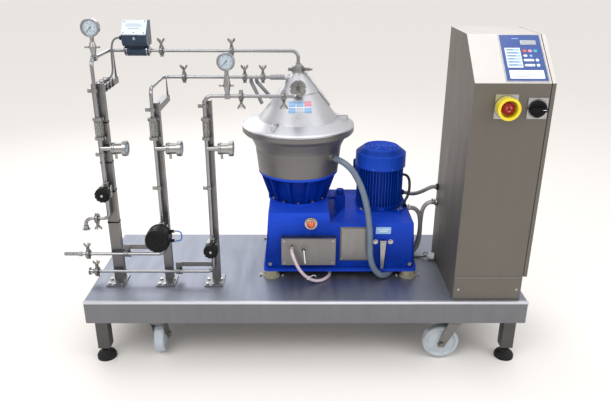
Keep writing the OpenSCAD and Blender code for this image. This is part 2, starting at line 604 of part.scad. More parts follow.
module pipe_stands() color([0.6, 0.6, 0.6]) for (i = [0 : 2]) {
  x1 = riser_x[i] + stand_right[i];
  x0 = x1 - stand_w[i];
  channel(x0, x1, 6, stand_top[i]);
  difference() {
    round_plate([riser_x[i] - 38, riser_y - 48, 0], 78, 104, 6, 6);
    for (dx = [-26, 28], dy = [-34, 6]) translate([riser_x[i] + dx, riser_y + dy, -1]) cylinder(r = 4.5, h = 8);
  }
  if (i < 2) {
    // arm to the back that carries the corner of the line
    difference() {
      box([x0 + 4, stand_y + 3, arm_z[i] - 26], [x1 - 4, axis_y + 12, arm_z[i]]);
      box([x0 + 7, stand_y + 6, arm_z[i] - 30], [x1 - 7, axis_y + 9, arm_z[i] - 3]);
    }
    top = [upper_z, middle_z][i] - tube_r - gap;
    profile_y(axis_y - 2, axis_y + 2, [[x1 - 14, arm_z[i]], [x1 - 6, arm_z[i]], [x1 - 9, top], [x1 - 12, top]]);
  }
  if (i > 0) {
    // bracket to the left that carries the outlet
    z = [0, middle_out_z, front_out_z][i];
    reach = [0, 160, 150][i];
    box([x0 - reach, stand_y, z + 14], [x0, stand_y + 5, z + 34]);
    box([x0 - reach - 2, stand_y - 4, z - 22], [x0 - reach + 24, stand_y, z + 34]);
  }
}
module line_fittings() steel() {
  valve_bodies();
  sight_flanges();
}
module valve_bodies() for (i = [0 : 2]) translate([riser_x[i], riser_y, valve_z[i]]) difference() {
  union() {
    box([-20, -16, -22], [20, 16, 22]);
    translate([0, 0, -port_h]) cylinder(r = 11, h = 2 * port_h);
    rotate([90, 0, 0]) cylinder(r = 16, h = 30);
    box([-22, -26, -22], [22, -18, 22]);
  }
  translate([0, 0, -port_h - 1]) cylinder(r = tube_r - tube_wall, h = 2 * port_h + 2);
  rotate([90, 0, 0]) cylinder(r = 5 + fit, h = 40);
}
module handwheel(i) black() translate([riser_x[i], riser_y - 34, valve_z[i]]) rotate([90, 0, 0]) {
  translate([0, 0, -14]) cylinder(r = 5, h = 20);
  difference() {
    cylinder(r = 24, h = 10);
    translate([0, 0, -1]) cylinder(r = 17, h = 6);
  }
  translate([0, 0, 8]) linear_extrude(24) difference() {
    circle(r = 30);
    for (a = [0 : 30 : 330]) rotate(a) translate([31, 0]) circle(r = 3.5);
  }
  translate([0, 0, 32]) cylinder(r1 = 26, r2 = 22, h = 4);
}
module valve_actuator() black() translate([riser_x[1], riser_y - 30.3, valve_z[1]]) {
  rotate([90, 0, 0]) {
    cylinder(r = 20, h = 14);
    translate([0, 0, 14]) cylinder(r = 45, h = 6);
    translate([0, 0, 20]) cylinder(r = 48, h = 66);
    translate([0, 0, 86]) cylinder(r1 = 48, r2 = 44, h = 6);
  }
  for (z = [22, -20]) translate([0, -34, z]) rotate([0, 90, 0]) translate([0, 0, 40])
    cylinder(r = 7, h = 20, $fn = 6);
}
module sight_flanges() for (i = [0 : 2]) translate([riser_x[i], riser_y, 0]) {
  r = i < 2 ? 21 : 18;
  for (z = [glass_low - 18, glass_high]) translate([0, 0, z]) difference() {
    union() {
      cylinder(r = 12, h = 18);
      translate([0, 0, 3]) cylinder(r = r, h = 12);
    }
    translate([0, 0, -1]) cylinder(r = tube_r - tube_wall, h = 30);
    box([-30, stand_y - riser_y - gap, -1], [30, 30, 30]);
  }
  for (a = [45 : 90 : 315]) rotate(a) translate([r - 4, 0, glass_low - 3])
    cylinder(r = 2, h = glass_high - glass_low + 6);
}
module sight_tubes() color([0.6, 0.7, 0.66, 0.4]) for (i = [0 : 2]) translate([riser_x[i], riser_y, glass_low])
  difference() {
    cylinder(r = i < 2 ? 14 : 11.5, h = glass_high - glass_low);
    translate([0, 0, -1]) cylinder(r = i < 2 ? 11 : 8.5, h = 80);
  }
module gauge_case(g) {
  translate([g[0], g[1], g[2]]) {
    difference() {
      union() {
        rotate([90, 0, 0]) translate([0, 0, -14]) cylinder(r = gauge_r - 1, h = 26);
        rotate([90, 0, 0]) translate([0, 0, 8]) cylinder(r = gauge_r + 1, h = 6);
        translate([0, 0, -gauge_r - 18]) cylinder(r = 8, h = 22, $fn = 6);
      }
      rotate([90, 0, 0]) translate([0, 0, 6]) cylinder(r = gauge_r - 3, h = 10);
      rotate([90, 0, 0]) translate([0, 0, -6]) cylinder(r = 2 + fit, h = 14);
    }
  }
  translate([g[0], g[1], g[3] + branch_h]) {
    cylinder(r = 16, h = 6);
    translate([0, 0, 6]) cylinder(r1 = 14, r2 = 9, h = g[2] - g[3] - gauge_r - 18 - branch_h - 6);
    box([-30, -5, 0], [-14, 5, 7]);
    box([14, -5, 0], [26, 5, 7]);
  }
}
module gauge_cases() color([0.7, 0.7, 0.71]) {
  for (g = gauges) gauge_case(g);
  // dial instruments beside the risers, facing right
  for (i = [0 : 2]) translate([riser_x[i] + (i == 0 ? 2 : 4), riser_y, 592]) {
    difference() {
      translate([-4, 0, 0]) rotate([0, 90, 0]) cylinder(r = 11, h = 42);
      translate([i == 0 ? -2 : -4, 0, -20]) cylinder(r = tube_r + gap, h = 40);
    }
    rotate([0, 90, 0]) translate([0, 0, 38]) cylinder(r = 22, h = 44);
    rotate([0, 90, 0]) translate([0, 0, 82]) cylinder(r = 31, h = 14);
    translate([52, 0, -42]) cylinder(r = 5, h = 30);
  }
}
module gauge_needle(i) black() translate([gauges[i][0], gauges[i][1], gauges[i][2]])
  rotate([90, 0, 0]) rotate(225) {
    translate([0, 0, -4]) cylinder(r = 2, h = 13);
    translate([0, 0, 8]) linear_extrude(1) polygon([[-8, -1.6], [24, -0.6], [24, 0.6], [-8, 1.6]]);
  }
module flow_meter() color([0.1, 0.14, 0.3]) difference() {
  union() {
    along([meter_x[0], axis_y, upper_z], [1, 0, 0]) cylinder(r = 22, h = meter_x[1] - meter_x[0]);
    profile_y(axis_y - 26, axis_y + 26, [[-712, upper_z + 8], [-664, upper_z + 8], [-642, 958], [-733, 958]]);
    profile_x(-737, -638, [[axis_y - 44, 972], [axis_y - 30, 956], [axis_y + 38, 956], [axis_y + 46, 966],
      [axis_y + 46, 1052], [axis_y + 6, 1052], [axis_y - 44, 1000]]);
    along([-737, axis_y - 10, 986], [-1, 0, 0]) cylinder(r = 9, h = 16, $fn = 6);
  }
  along([meter_x[0] - 1, axis_y, upper_z], [1, 0, 0]) cylinder(r = tube_r - tube_wall, h = 100);
}

// --- cabinet --------------------------------------------------------------------
module cab_outline(grow, low) polygon([[cab_y - grow, low], [cab_y + cab_d + grow, low],
  [cab_y + cab_d + grow, cab_h + grow], [cab_slope_y - grow / 3, cab_h + grow],
  [cab_y - grow, cab_front_h + grow / 3]]);
module cab_slab(x0, x1, grow, low) translate([x0, 0, 0]) rotate([90, 0, 90]) linear_extrude(x1 - x0)
  cab_outline(grow, low);
module cabinet_body() steel() {
  difference() {
    cab_slab(cab_x, cab_x + cab_w, 0, 0);
    cab_slab(cab_x + 2, cab_x + cab_w + 1, -2, plinth_h);
    box([cab_x + 2, cab_y + 12, -1], [cab_x + cab_w - 12, cab_y + cab_d - 12, plinth_h - 2]);
    along([stop_at[0], cab_y - 1, stop_at[1]], [0, 1, 0]) cylinder(r = 11 + gap, h = 20);
    along([switch_at[0], cab_y - 1, switch_at[1]], [0, 1, 0]) cylinder(r = 8 + gap, h = 20);
  }
  for (p = [[262, 15], [335, 13]]) along([cab_x, cab_y + cab_d - 16, p[0]], [-1, 0, 0])
    cylinder(r = p[1], h = 10, $fn = 6);
  for (z = [200, 560, 900]) difference() {
    union() {
      translate([hinge_x, hinge_y, z]) cylinder(r = 5, h = 40);
      box([cab_x + cab_w - 30, cab_y + cab_d, z], [hinge_x, cab_y + cab_d + 3, z + 40]);
    }
    translate([hinge_x, hinge_y, z - 1]) cylinder(r = 2.5 + fit, h = 60);
  }
}
module cabinet_door() steel() difference() {
  union() {
    difference() {
      cab_slab(door_x, door_x + door_t, 0, plinth_h + 2);
      cab_slab(door_x - 1, door_x + door_t - 2, -8, plinth_h + 2);
      for (z = [200, 560, 900])
        box([door_x - 1, cab_y + cab_d - 6, z - 46], [door_x + 40, cab_y + cab_d + 1, z + 86]);
    }
    for (z = [200, 560, 900], dz = [-41, 41]) {
      translate([hinge_x, hinge_y, z + dz]) cylinder(r = 5, h = 40);
      box([door_x + door_t - 2, cab_y + cab_d - 10, z + dz], [door_x + door_t, hinge_y, z + dz + 40]);
      box([door_x + door_t - 2, hinge_y - 4, z + dz], [hinge_x, hinge_y, z + dz + 40]);
    }
    for (z = [200, 560, 900]) translate([hinge_x, hinge_y, z - 41]) cylinder(r = 2.5, h = 122);
    along([door_x + door_t, cab_y + 24, 516], [1, 0, 0]) cylinder(r = 11, h = 5);
  }
  along([door_x + door_t + 2, cab_y + 24, 516], [1, 0, 0]) cylinder(r = 4, h = 5, $fn = 4);
}
module cover_plates() steel() {
  difference() {
    box([stop_at[0] - 42, cab_y - 3, stop_at[1] - 45], [stop_at[0] + 42, cab_y, stop_at[1] + 45]);
    along([stop_at[0], cab_y + 1, stop_at[1]], [0, -1, 0]) cylinder(r = 11 + gap, h = 10);
  }
  difference() {
    box([switch_at[0] - 37, cab_y - 3, switch_at[1] - 39], [switch_at[0] + 37, cab_y, switch_at[1] + 39]);
    along([switch_at[0], cab_y + 1, switch_at[1]], [0, -1, 0]) cylinder(r = 8 + gap, h = 10);
  }
  box([cab_x + 4, cab_y - 2, 8], [cab_x + cab_w - 4, cab_y, plinth_h - 4]);
  box([144, base_front - 2, 82], [274, base_front, 238]);
}
slope_a = atan2(cab_h - cab_front_h, cab_slope_y - cab_y);
slope_len = norm([cab_h - cab_front_h, cab_slope_y - cab_y]);
module on_slope() translate([cab_x, cab_y, cab_front_h]) rotate([slope_a, 0, 0]) children();
module control_panel() color([0.13, 0.25, 0.6]) on_slope()
  translate([116, 10, 0]) linear_extrude(1.5) round_2d(148, slope_len - 16, 5);
module switch_bezels() color([0.95, 0.8, 0.05]) difference() {
  along([stop_at[0], cab_y - 3, stop_at[1]], [0, -1, 0]) cylinder(r1 = 38, r2 = 41, h = stop_reach - 3);
  along([stop_at[0], cab_y - 12, stop_at[1]], [0, -1, 0]) cylinder(r = 31, h = 60);
  along([stop_at[0], cab_y + 1, stop_at[1]], [0, -1, 0]) cylinder(r = 11 + gap, h = 30);
}
module estop_button() color([0.8, 0.08, 0.1]) along([stop_at[0], cab_y, stop_at[1]], [0, -1, 0]) {
  translate([0, 0, -14]) cylinder(r = 11, h = 34);
  translate([0, 0, 20]) cylinder(r1 = 18, r2 = 23, h = 4);
  translate([0, 0, 24]) cylinder(r = 23, h = 8);
  translate([0, 0, 32]) cylinder(r1 = 23, r2 = 16, h = 4);
}
module main_switch_knob() black() along([switch_at[0], cab_y, switch_at[1]], [0, -1, 0]) {
  translate([0, 0, -14]) cylinder(r = 8, h = 18);
  translate([0, 0, 3.3]) cylinder(r = 31, h = 8);
  translate([0, 0, 11.3]) cylinder(r1 = 31, r2 = 28, h = 5);
  translate([-27, -7, 11.3]) cube([54, 14, 18]);
}
module cabinet_chassis() color([0.8, 0.8, 0.78]) {
  y0 = cab_y + 40;
  y1 = cab_y + cab_d - 40;
  box([cab_x + 14, y0, 150], [cab_x + 17, y1, 840]);
  for (z = [170, 470, 760], y = [y0 + 10, y1 - 22]) box([cab_x + 2, y, z], [cab_x + 14, y + 12, z + 12]);
  // drive unit, supply, controller, breakers, relays, terminals and wiring ducts
  box([cab_x + 17, y0 + 20, 190], [cab_x + 120, y0 + 150, 400]);
  box([cab_x + 17, y0 + 190, 200], [cab_x + 95, y0 + 290, 330]);
  box([cab_x + 17, y0 + 20, 660], [cab_x + 90, y0 + 190, 770]);
  for (z = [480, 580]) box([cab_x + 17, y0 + 20, z], [cab_x + 25, y1 - 20, z + 35]);
  for (i = [0 : 9]) box([cab_x + 25, y0 + 30 + 19 * i, 456], [cab_x + 85, y0 + 47 + 19 * i, 539]);
  for (i = [0 : 6]) box([cab_x + 25, y0 + 30 + 24 * i, 566], [cab_x + 90, y0 + 50 + 24 * i, 630]);
  for (i = [0 : 11]) box([cab_x + 25, y0 + 235 + 6 * i, 560], [cab_x + 60, y0 + 240 + 6 * i, 620]);
  for (z = [420, 642]) box([cab_x + 17, y0 + 10, z], [cab_x + 60, y1 - 10, z + (z < 500 ? 30 : 14)]);
}
// --- fasteners -----------------------------------------------------------------------
module fasteners() color([0.78, 0.78, 0.8]) {
  for (x = riser_x, dx = [-26, 28], dy = [-34, 6]) translate([x + dx, riser_y + dy, 6])
    cylinder(r = 7, h = 6, $fn = 6);
  for (x = riser_x) translate([x - 2, riser_y - 38, 6]) cylinder(r = 7, h = 6, $fn = 6);
  for (x = [-81, 81], y = [-81, 81]) bolt([motor_x + x, axis_y + y, bench_top + 16], [0, 0, 1]);
  for (a = [0 : 30 : 330]) rotate_about(a) bolt([121, 0, column_top + 10], [0, 0, 1], 5);
  for (x = [cab_x + 20, cab_x + cab_w - 20]) along([x, cab_y - 2, 50], [0, -1, 0]) cylinder(r = 5, h = 2.5);
  for (x = [-32, 32]) bolt([lever_at[0] + x, base_front, lever_at[1] + 4], [0, -1, 0], 8, 4);
  along([lever_at[0], base_front, lever_at[1]], [0, -1, 0]) cylinder(r = 5, h = 16);
  for (x = [-154, 446]) bolt([x, base_front, base_z + 34], [0, -1, 0], 5);
  for (c = casters, dx = [-36, 36], dy = [-30, 30]) translate([c[0] + dx, c[1] + dy, caster_plate_z - 5])
    cylinder(r = 7, h = 5, $fn = 6);
  for (x = [-92, 112], z = [88, 188]) along([x, base_front - 34, z], [0, -1, 0]) cylinder(r = 4, h = 2);
  for (x = [foot_x[0] - 47, foot_x[0] + 47, foot_x[1] - 47, foot_x[1] + 47], y = [base_front + 16, base_back - 16])
    bolt([x, y, 0], [0, 0, 1], 6);
}
module rotate_about(a) translate([bowl_x, axis_y, 0]) rotate(a) children();

// --- hoses and cables ------------------------------------------------------------------
module side_hose() color([0.5, 0.5, 0.5]) cord(side_route, 10, 3, 10);
module meter_cable() color([0.35, 0.35, 0.37]) cord(meter_cable_route, 4, 3, 8);
// a white coupling plug on a short cable, lying on the deck
module plug_cable() color([0.9, 0.9, 0.9]) {
  cord(plug_route, 4, 4, 8);
  along([556, 380, 16.4], [1, -0.1, 0]) {
    cylinder(r = 11, h = 8);
    translate([0, 0, 8]) cylinder(r = 16, h = 24);
  }
}
module casing_hose() color([0.5, 0.52, 0.55]) cord(casing_route, 13, 3, 10);
module drain_hose() color([0.8, 0.65, 0.7]) cord(drain_route, 7.2, 4, 10);
module cabinet_hose() color([0.7, 0.62, 0.66]) cord(cabinet_route, 10, 3, 10);
module motor_cable() black() cord(motor_cable_route, 6, 4, 8);
module conduit() color([0.55, 0.55, 0.58]) cord(conduit_route, 9, 4, 8);

place() skid_deck();
place() skid_frame();
place() machine_base();
place() machine_feet();
place() pedestal();
place() bowl_casing();
place() hood();
place() pipe_clamps();
place() solenoid_box();
place() oil_sight_glass();
place() motor_housing();
place() spindle_bearings();
place() drive_belt();
place() pipe_stands();
place() upper_line();
place() middle_line();
place() front_line();
place() line_fittings();
place() sight_tubes();
place() gauge_cases();
place() flow_meter();
place() cabinet_body();
place() cover_plates();
place() control_panel();
place() switch_bezels();
place() cabinet_chassis();
place() valve_actuator();
place() fasteners();
place() casing_hose();
place() drain_hose();
place() cabinet_hose();
place() motor_cable();
place() conduit();
place() side_hose();
place() meter_cable();
place() plug_cable();
place() cabinet_door();
place() estop_button();
place() main_switch_knob();
place() handwheel(0);  // handwheel_left
place() handwheel(2);  // handwheel_right
place() brake_lever();
place() bowl_shell();
place() disc_stack();
place() spindle();
place() motor_rotor();
place() gauge_needle(0);  // gauge_needle_left
place() gauge_needle(1);  // gauge_needle_right
place() caster_fork(0);  // caster_fork_1
place() caster_fork(1);  // caster_fork_2
place() caster_fork(2);  // caster_fork_3
place() caster_fork(3);  // caster_fork_4
place() caster_wheel(0);  // caster_wheel_1
place() caster_wheel(1);  // caster_wheel_2
place() caster_wheel(2);  // caster_wheel_3
place() caster_wheel(3);  // caster_wheel_4
place() levelling_foot(0);  // foot_1
place() levelling_foot(1);  // foot_2
place() levelling_foot(2);  // foot_3
place() levelling_foot(3);  // foot_4
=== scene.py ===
# Looks of the cream separator: materials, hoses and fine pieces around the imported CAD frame.
# Places are given in the deck frame, in millimetres: X from the skid's middle, Y back from its
# front edge, Z up from the deck plate. deck() turns them into the row frame, in metres.
from math import atan2, cos, hypot, radians, sin, sqrt, tau
import bpy
import bmesh
from mathutils import Matrix, Vector


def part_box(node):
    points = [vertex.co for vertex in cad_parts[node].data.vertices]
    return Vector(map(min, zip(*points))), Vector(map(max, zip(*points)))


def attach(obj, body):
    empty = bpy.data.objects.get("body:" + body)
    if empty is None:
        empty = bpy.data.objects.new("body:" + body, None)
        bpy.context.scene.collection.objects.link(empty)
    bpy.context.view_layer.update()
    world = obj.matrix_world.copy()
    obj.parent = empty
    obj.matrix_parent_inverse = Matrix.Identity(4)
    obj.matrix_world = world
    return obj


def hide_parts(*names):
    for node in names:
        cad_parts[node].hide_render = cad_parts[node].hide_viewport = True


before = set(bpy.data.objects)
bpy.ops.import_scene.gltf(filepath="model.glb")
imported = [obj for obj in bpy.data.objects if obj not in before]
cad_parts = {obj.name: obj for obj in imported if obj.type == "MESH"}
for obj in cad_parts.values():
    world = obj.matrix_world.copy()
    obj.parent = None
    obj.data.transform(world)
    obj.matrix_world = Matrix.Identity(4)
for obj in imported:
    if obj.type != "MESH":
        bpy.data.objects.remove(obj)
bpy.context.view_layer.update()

# --- places: the deck's box gives the origin, the rest are distances on the machine
DECK_LOW, DECK_HIGH = (Vector(c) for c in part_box("skid_deck"))
DECK_ORIGIN = Vector(((DECK_LOW.x + DECK_HIGH.x) / 2, DECK_LOW.y, DECK_HIGH.z))
MM = 0.001
FRONT, RIGHT, LEFT, UP = (0, -1, 0), (1, 0, 0), (-1, 0, 0), (0, 0, 1)
CORNERS = ((-1, -1), (-1, 1), (1, -1), (1, 1))
# upright axes of bowl and motor, and the top of the fan cowl
BOWL_X, MOTOR_X, AXIS_Y = -34, 325, 410
BOWL_FOOT, COWL_TOP = (BOWL_X, AXIS_Y, 0), (MOTOR_X, AXIS_Y, 533)
# the hood's cone: radius and height of its foot, and rise per radius
CONE_R, CONE_Z, CONE_SLOPE = 166, 662, 1.289
# risers on the three stands, with the heights of their fittings and of the lines above
RISERS, RISER_Y = (-803, -592, -390), 172
OUTLET_HEIGHTS, SIGHT_HEIGHT = (418, 243, 172), 592
LOW_OUTLETS = (131, 49)
UPPER_LINE, MIDDLE_LINE, FRONT_LINE = 935, 828, 800
GAUGES = ((-803, 212, 1046), (-302, RISER_Y, 930))
# cabinet corner and size, its switches (X, Z) and the face of their plates
CAB_X, CAB_Y, CAB_W, CAB_H = 592, 20, 274, 1030
CAB_FRONT_H, CAB_SLOPE_Y = 881, 194
ESTOP, SWITCH, PLATE_Y = (712, 797), (826, 791), CAB_Y - 3
LEG_X, CASTER_X, WHEEL_ROWS = 850, 620, (60, 590)


def deck(x, y, z):
    return DECK_ORIGIN + Vector((x, y, z)) * MM


# --- camera, floor and light
CAMERA_AT = (-24.0, -2158.7, 1307.5)
CAMERA_PITCH, CAMERA_YAW, CAMERA_ROLL = 21.85, 0.5, 0.25
CAMERA_LENS = 36.44


def add_object(name, data):
    obj = bpy.data.objects.new(name, data)
    bpy.context.scene.collection.objects.link(obj)
    return obj


def make_camera():
    data = bpy.data.cameras.new("Camera")
    data.sensor_width = 36
    data.lens = CAMERA_LENS
    data.clip_end = 100
    cam = add_object("Camera", data)
    turn = (Matrix.Rotation(radians(-CAMERA_YAW), 4, "Z")
            @ Matrix.Rotation(radians(90 - CAMERA_PITCH), 4, "X")
            @ Matrix.Rotation(radians(CAMERA_ROLL), 4, "Z"))
    cam.matrix_world = Matrix.Translation(deck(*CAMERA_AT)) @ turn
    bpy.context.scene.camera = cam


def area_light(name, place, aim, size, power, colour=(1, 1, 1)):
    data = bpy.data.lights.new(name, "AREA")
    data.shape = "RECTANGLE"
    data.size, data.size_y = size
    data.energy = power
    data.color = colour
    lamp = add_object(name, data)
    lamp.location = place
    lamp.rotation_euler = (Vector(aim) - Vector(place)).to_track_quat("-Z", "Y").to_euler()


def make_stage():
    bpy.context.scene.view_settings.view_transform = "Standard"
    world = bpy.data.worlds.new("Studio")
    bpy.context.scene.world = world
    world.use_nodes = True
    tree = world.node_tree
    back = tree.nodes["Background"]
    coord, split, lift, ramp = (tree.nodes.new("ShaderNode" + kind)
        for kind in ("TexCoord", "SeparateXYZ", "MapRange", "ValToRGB"))
    tree.links.new(coord.outputs["Generated"], split.inputs[0])
    lift.inputs["From Min"].default_value = -1
    tree.links.new(split.outputs["Z"], lift.inputs["Value"])
    tree.links.new(lift.outputs[0], ramp.inputs[0])
    tree.links.new(ramp.outputs[0], back.inputs[0])
    for place, tone in ((0.0, 0.35), (0.49, 0.42), (0.55, 0.62), (0.72, 0.98), (1.0, 1.12)):
        stops = ramp.color_ramp.elements
        stop = stops.new(place) if 0 < place < 1 else stops[int(place)]
        stop.color = (tone, tone * 0.985, tone * 0.965, 1)
    back.inputs[1].default_value = 0.98
    area_light("key", (-1.6, -2.6, 3.4), (0, 0, 0.6), (2.4, 1.6), 50, (1, 0.98, 0.96))
    area_light("fill", (2.8, -1.6, 2.4), (0.2, 0, 0.7), (1.6, 2.2), 30)
    area_light("top", (0.2, 0.6, 3.6), (0, 0, 0.3), (3.0, 1.4), 24)
    area_light("rim", (-1.4, 2.6, 2.4), (0, 0, 0.7), (2.4, 1.2), 24)
    make_floor(30)


def make_floor(half):
    mesh = bpy.data.meshes.new("studio_floor")
    corners = [(-half, -half, 0), (half, -half, 0), (half, half, 0), (-half, half, 0)]
    mesh.from_pydata(corners, [], [(0, 1, 2, 3)])
    obj = add_object("studio_floor", mesh)
    mat = bpy.data.materials.new("floor_paint")
    mat.use_nodes = True
    shader = mat.node_tree.nodes["Principled BSDF"]
    shader.inputs["Base Color"].default_value = (0.86, 0.826, 0.80, 1)
    shader.inputs["Roughness"].default_value = 0.9
    mesh.materials.append(mat)
    return obj


# --- materials
MATERIALS = {}


def scaled(colour, gain, lift=0.0):
    return tuple(min(1, c * gain + lift) for c in colour)


class Shade:
    """Builds the procedural material of one look around a Principled shader."""

    def __init__(self, look):
        made = MATERIALS[look] = bpy.data.materials.new(look)
        made.use_nodes = True
        self.tree = made.node_tree
        self.wire = self.tree.links.new
        self.bsdf = self.tree.nodes["Principled BSDF"]
        self.coord = self.node("TexCoord").outputs["Object"]
        self.height = None

    def node(self, kind, **values):
        made = self.tree.nodes.new("ShaderNode" + kind)
        for key, value in values.items():
            if key in made.inputs.keys():
                made.inputs[key].default_value = value
            else:
                setattr(made, key, value)
        return made

    def noise(self, size, detail, rough, scale=(1, 1, 1)):
        place = self.node("Mapping", Scale=scale)
        self.wire(self.coord, place.inputs["Vector"])
        made = self.node("TexNoise", Scale=size, Detail=detail, Roughness=rough)
        self.wire(place.outputs[0], made.inputs["Vector"])
        return made.outputs["Fac"]

    def span(self, source, low=0.0, high=1.0, start=0.3, end=0.7):
        made = self.node("MapRange")
        for key, value in (("From Min", start), ("From Max", end), ("To Min", low), ("To Max", high)):
            made.inputs[key].default_value = value
        self.wire(source, made.inputs["Value"])
        return made.outputs[0]

    def blend(self, factor, first, second, mode="MIX"):
        made = self.node("Mix", data_type="RGBA", blend_type=mode)
        for value, socket in ((factor, made.inputs[0]), (first, made.inputs[6]), (second, made.inputs[7])):
            if isinstance(value, (float, int)):
                socket.default_value = value
            elif isinstance(value, tuple):
                socket.default_value = (*value, 1)
            else:
                self.wire(value, socket)
        return made.outputs[2]

    def colour(self, source):
        if isinstance(source, tuple):
            self.bsdf.inputs["Base Color"].default_value = (*source, 1)
        else:
            self.wire(source, self.bsdf.inputs["Base Color"])

    def link(self, name, source):
        self.wire(source, self.bsdf.inputs[name])

    def set(self, **values):
        for key, value in values.items():
            self.bsdf.inputs[key.replace("_", " ")].default_value = value

    def bump(self, source, strength=0.2, depth=0.0005):
        made = self.node("Bump", Strength=strength, Distance=depth)
        self.wire(source, made.inputs["Height"])
        if self.height:
            self.wire(self.height, made.inputs["Normal"])
        self.height = made.outputs[0]
        self.wire(self.height, self.bsdf.inputs["Normal"])

    def painted_edge_highlight(self, first, second, reach):
        """Mixes towards the second colour on convex edges, from the mesh's pointiness, for a painted
        highlight along the edges.
        """
        geo = self.node("NewGeometry")
        edge_light = self.span(geo.outputs["Pointiness"], 0.0, 1.0, 0.52, reach)
        return self.blend(edge_light, first, second)


def steel(look, tone, grain=(1, 1, 60), rough=(0.26, 0.42), tint=(1, 0.99, 0.97), spread=0.12, depth=0.00012,
        top_light_gain=1.0, metal=1.0):
    """Brushed steel; the gain for faces that look up makes them lighter, a painted top light standing in for
    the light from above.
    """
    s = Shade(look)
    base = scaled(tint, tone)
    scaled_grain = tuple(0.4 + 0.05 * g for g in grain)
    lines = s.noise(90, 4, 0.6, grain)
    cloud = s.noise(5.5, 5, 0.6)
    streak = s.noise(9, 3, 0.55, scaled_grain)
    col = s.blend(s.span(lines), scaled(base, 1 - spread), scaled(base, 1 + spread))
    col = s.blend(s.span(cloud, 0.0, 0.35, 0.35, 0.75), col, scaled(base, 1 - 1.6 * spread))
    # painted light: faces that look up are made lighter, as if lit from above
    if top_light_gain != 1.0:
        split = s.node("SeparateXYZ")
        s.wire(s.node("NewGeometry").outputs["Normal"], split.inputs[0])
        lit = s.blend(1.0, col, (top_light_gain * 0.96, top_light_gain, top_light_gain * 1.1), "MULTIPLY")
        col = s.blend(s.span(split.outputs["Z"], 0.0, 1.0, 0.25, 0.72), col, lit)
    s.colour(col)
    rough_mix = s.node("Math", operation="ADD")
    s.wire(s.span(lines, rough[0], rough[1]), rough_mix.inputs[0])
    s.wire(s.span(streak, -0.04, 0.07), rough_mix.inputs[1])
    s.link("Roughness", rough_mix.outputs[0])
    s.set(Metallic=metal)
    s.bump(lines, 0.35, depth)


def cast_steel(look, tone, rough, grain=420, tint=(1, 0.99, 0.97)):
    s = Shade(look)
    base = scaled(tint, tone)
    spots = s.noise(60, 4, 0.6)
    s.colour(s.blend(s.span(spots), scaled(base, 0.82), scaled(base, 1.08)))
    s.link("Roughness", s.span(spots, rough - 0.07, rough + 0.1))
    s.set(Metallic=1.0)
    s.bump(s.noise(grain, 3, 0.6), 0.25, 0.0002)


def paint(look, colour, dark, rough=0.3, coat=0.35, orange=0.22, scale=190):
    s = Shade(look)
    cloud = s.noise(7, 5, 0.6)
    fine = s.noise(45, 4, 0.65)
    col = s.blend(s.span(cloud, 0.0, 0.6), colour, dark)
    col = s.blend(s.span(fine, 0.0, 0.35, 0.5, 0.75), col, scaled(colour, 1.9, 0.003))
    # painted highlight: the paint's convex edges are made lighter, standing in for the light they catch
    s.colour(s.painted_edge_highlight(col, scaled(colour, 1.9, 0.012), 0.58))
    s.link("Roughness", s.span(fine, rough - 0.06, rough + 0.12))
    s.set(Coat_Weight=coat, Coat_Roughness=0.2, Specular_IOR_Level=0.08)
    s.bump(s.noise(scale, 3, 0.55), orange, 0.0006)
    s.bump(cloud, 0.15, 0.002)


def plastic(look, colour, rough=0.42, grain=500, bump=0.15, coat=0.0, spread=0.12, specular=0.5):
    s = Shade(look)
    cloud = s.noise(22, 4, 0.6)
    s.colour(s.blend(s.span(cloud), scaled(colour, 1 - spread), scaled(colour, 1 + spread, 0.004)))
    s.link("Roughness", s.span(cloud, rough - 0.07, rough + 0.08))
    s.set(Coat_Weight=coat, Specular_IOR_Level=specular)
    s.bump(s.noise(grain, 3, 0.6), bump, 0.00025)


def clear(look, colour, alpha=0.35, rough=0.05):
    s = Shade(look)
    haze = s.noise(30, 3, 0.5)
    s.colour(s.blend(s.span(haze), colour, scaled(colour, 0.9)))
    s.set(Alpha=alpha, Roughness=rough, Coat_Weight=0.6, Coat_Roughness=0.03)


def braided(look, colour, thread):
    """A clear hose wall with a crossed braid under it; the braid runs along the tube by its UV map."""
    s = Shade(look)
    uv = s.node("TexCoord").outputs["UV"]
    weave = []
    for turn in (35, -35):
        place = s.node("Mapping", Rotation=(0, 0, radians(turn)), Scale=(300, 26, 1))
        s.wire(uv, place.inputs["Vector"])
        wave = s.node("TexWave", Scale=0.5, Distortion=0.4)
        s.wire(place.outputs[0], wave.inputs["Vector"])
        weave.append(wave.outputs["Fac"])
    both = s.node("Math", operation="MAXIMUM")
    s.wire(weave[0], both.inputs[0])
    s.wire(weave[1], both.inputs[1])
    lines = s.span(both.outputs[0], 0.0, 1.0, 0.8, 0.98)
    cloud = s.noise(14, 4, 0.6)
    base = s.blend(s.span(cloud, 0.0, 0.7), colour, scaled(colour, 0.75))
    s.colour(s.blend(lines, base, thread))
    s.set(Roughness=0.24, Coat_Weight=0.7, Coat_Roughness=0.08)
    s.bump(lines, 0.25, 0.0004)


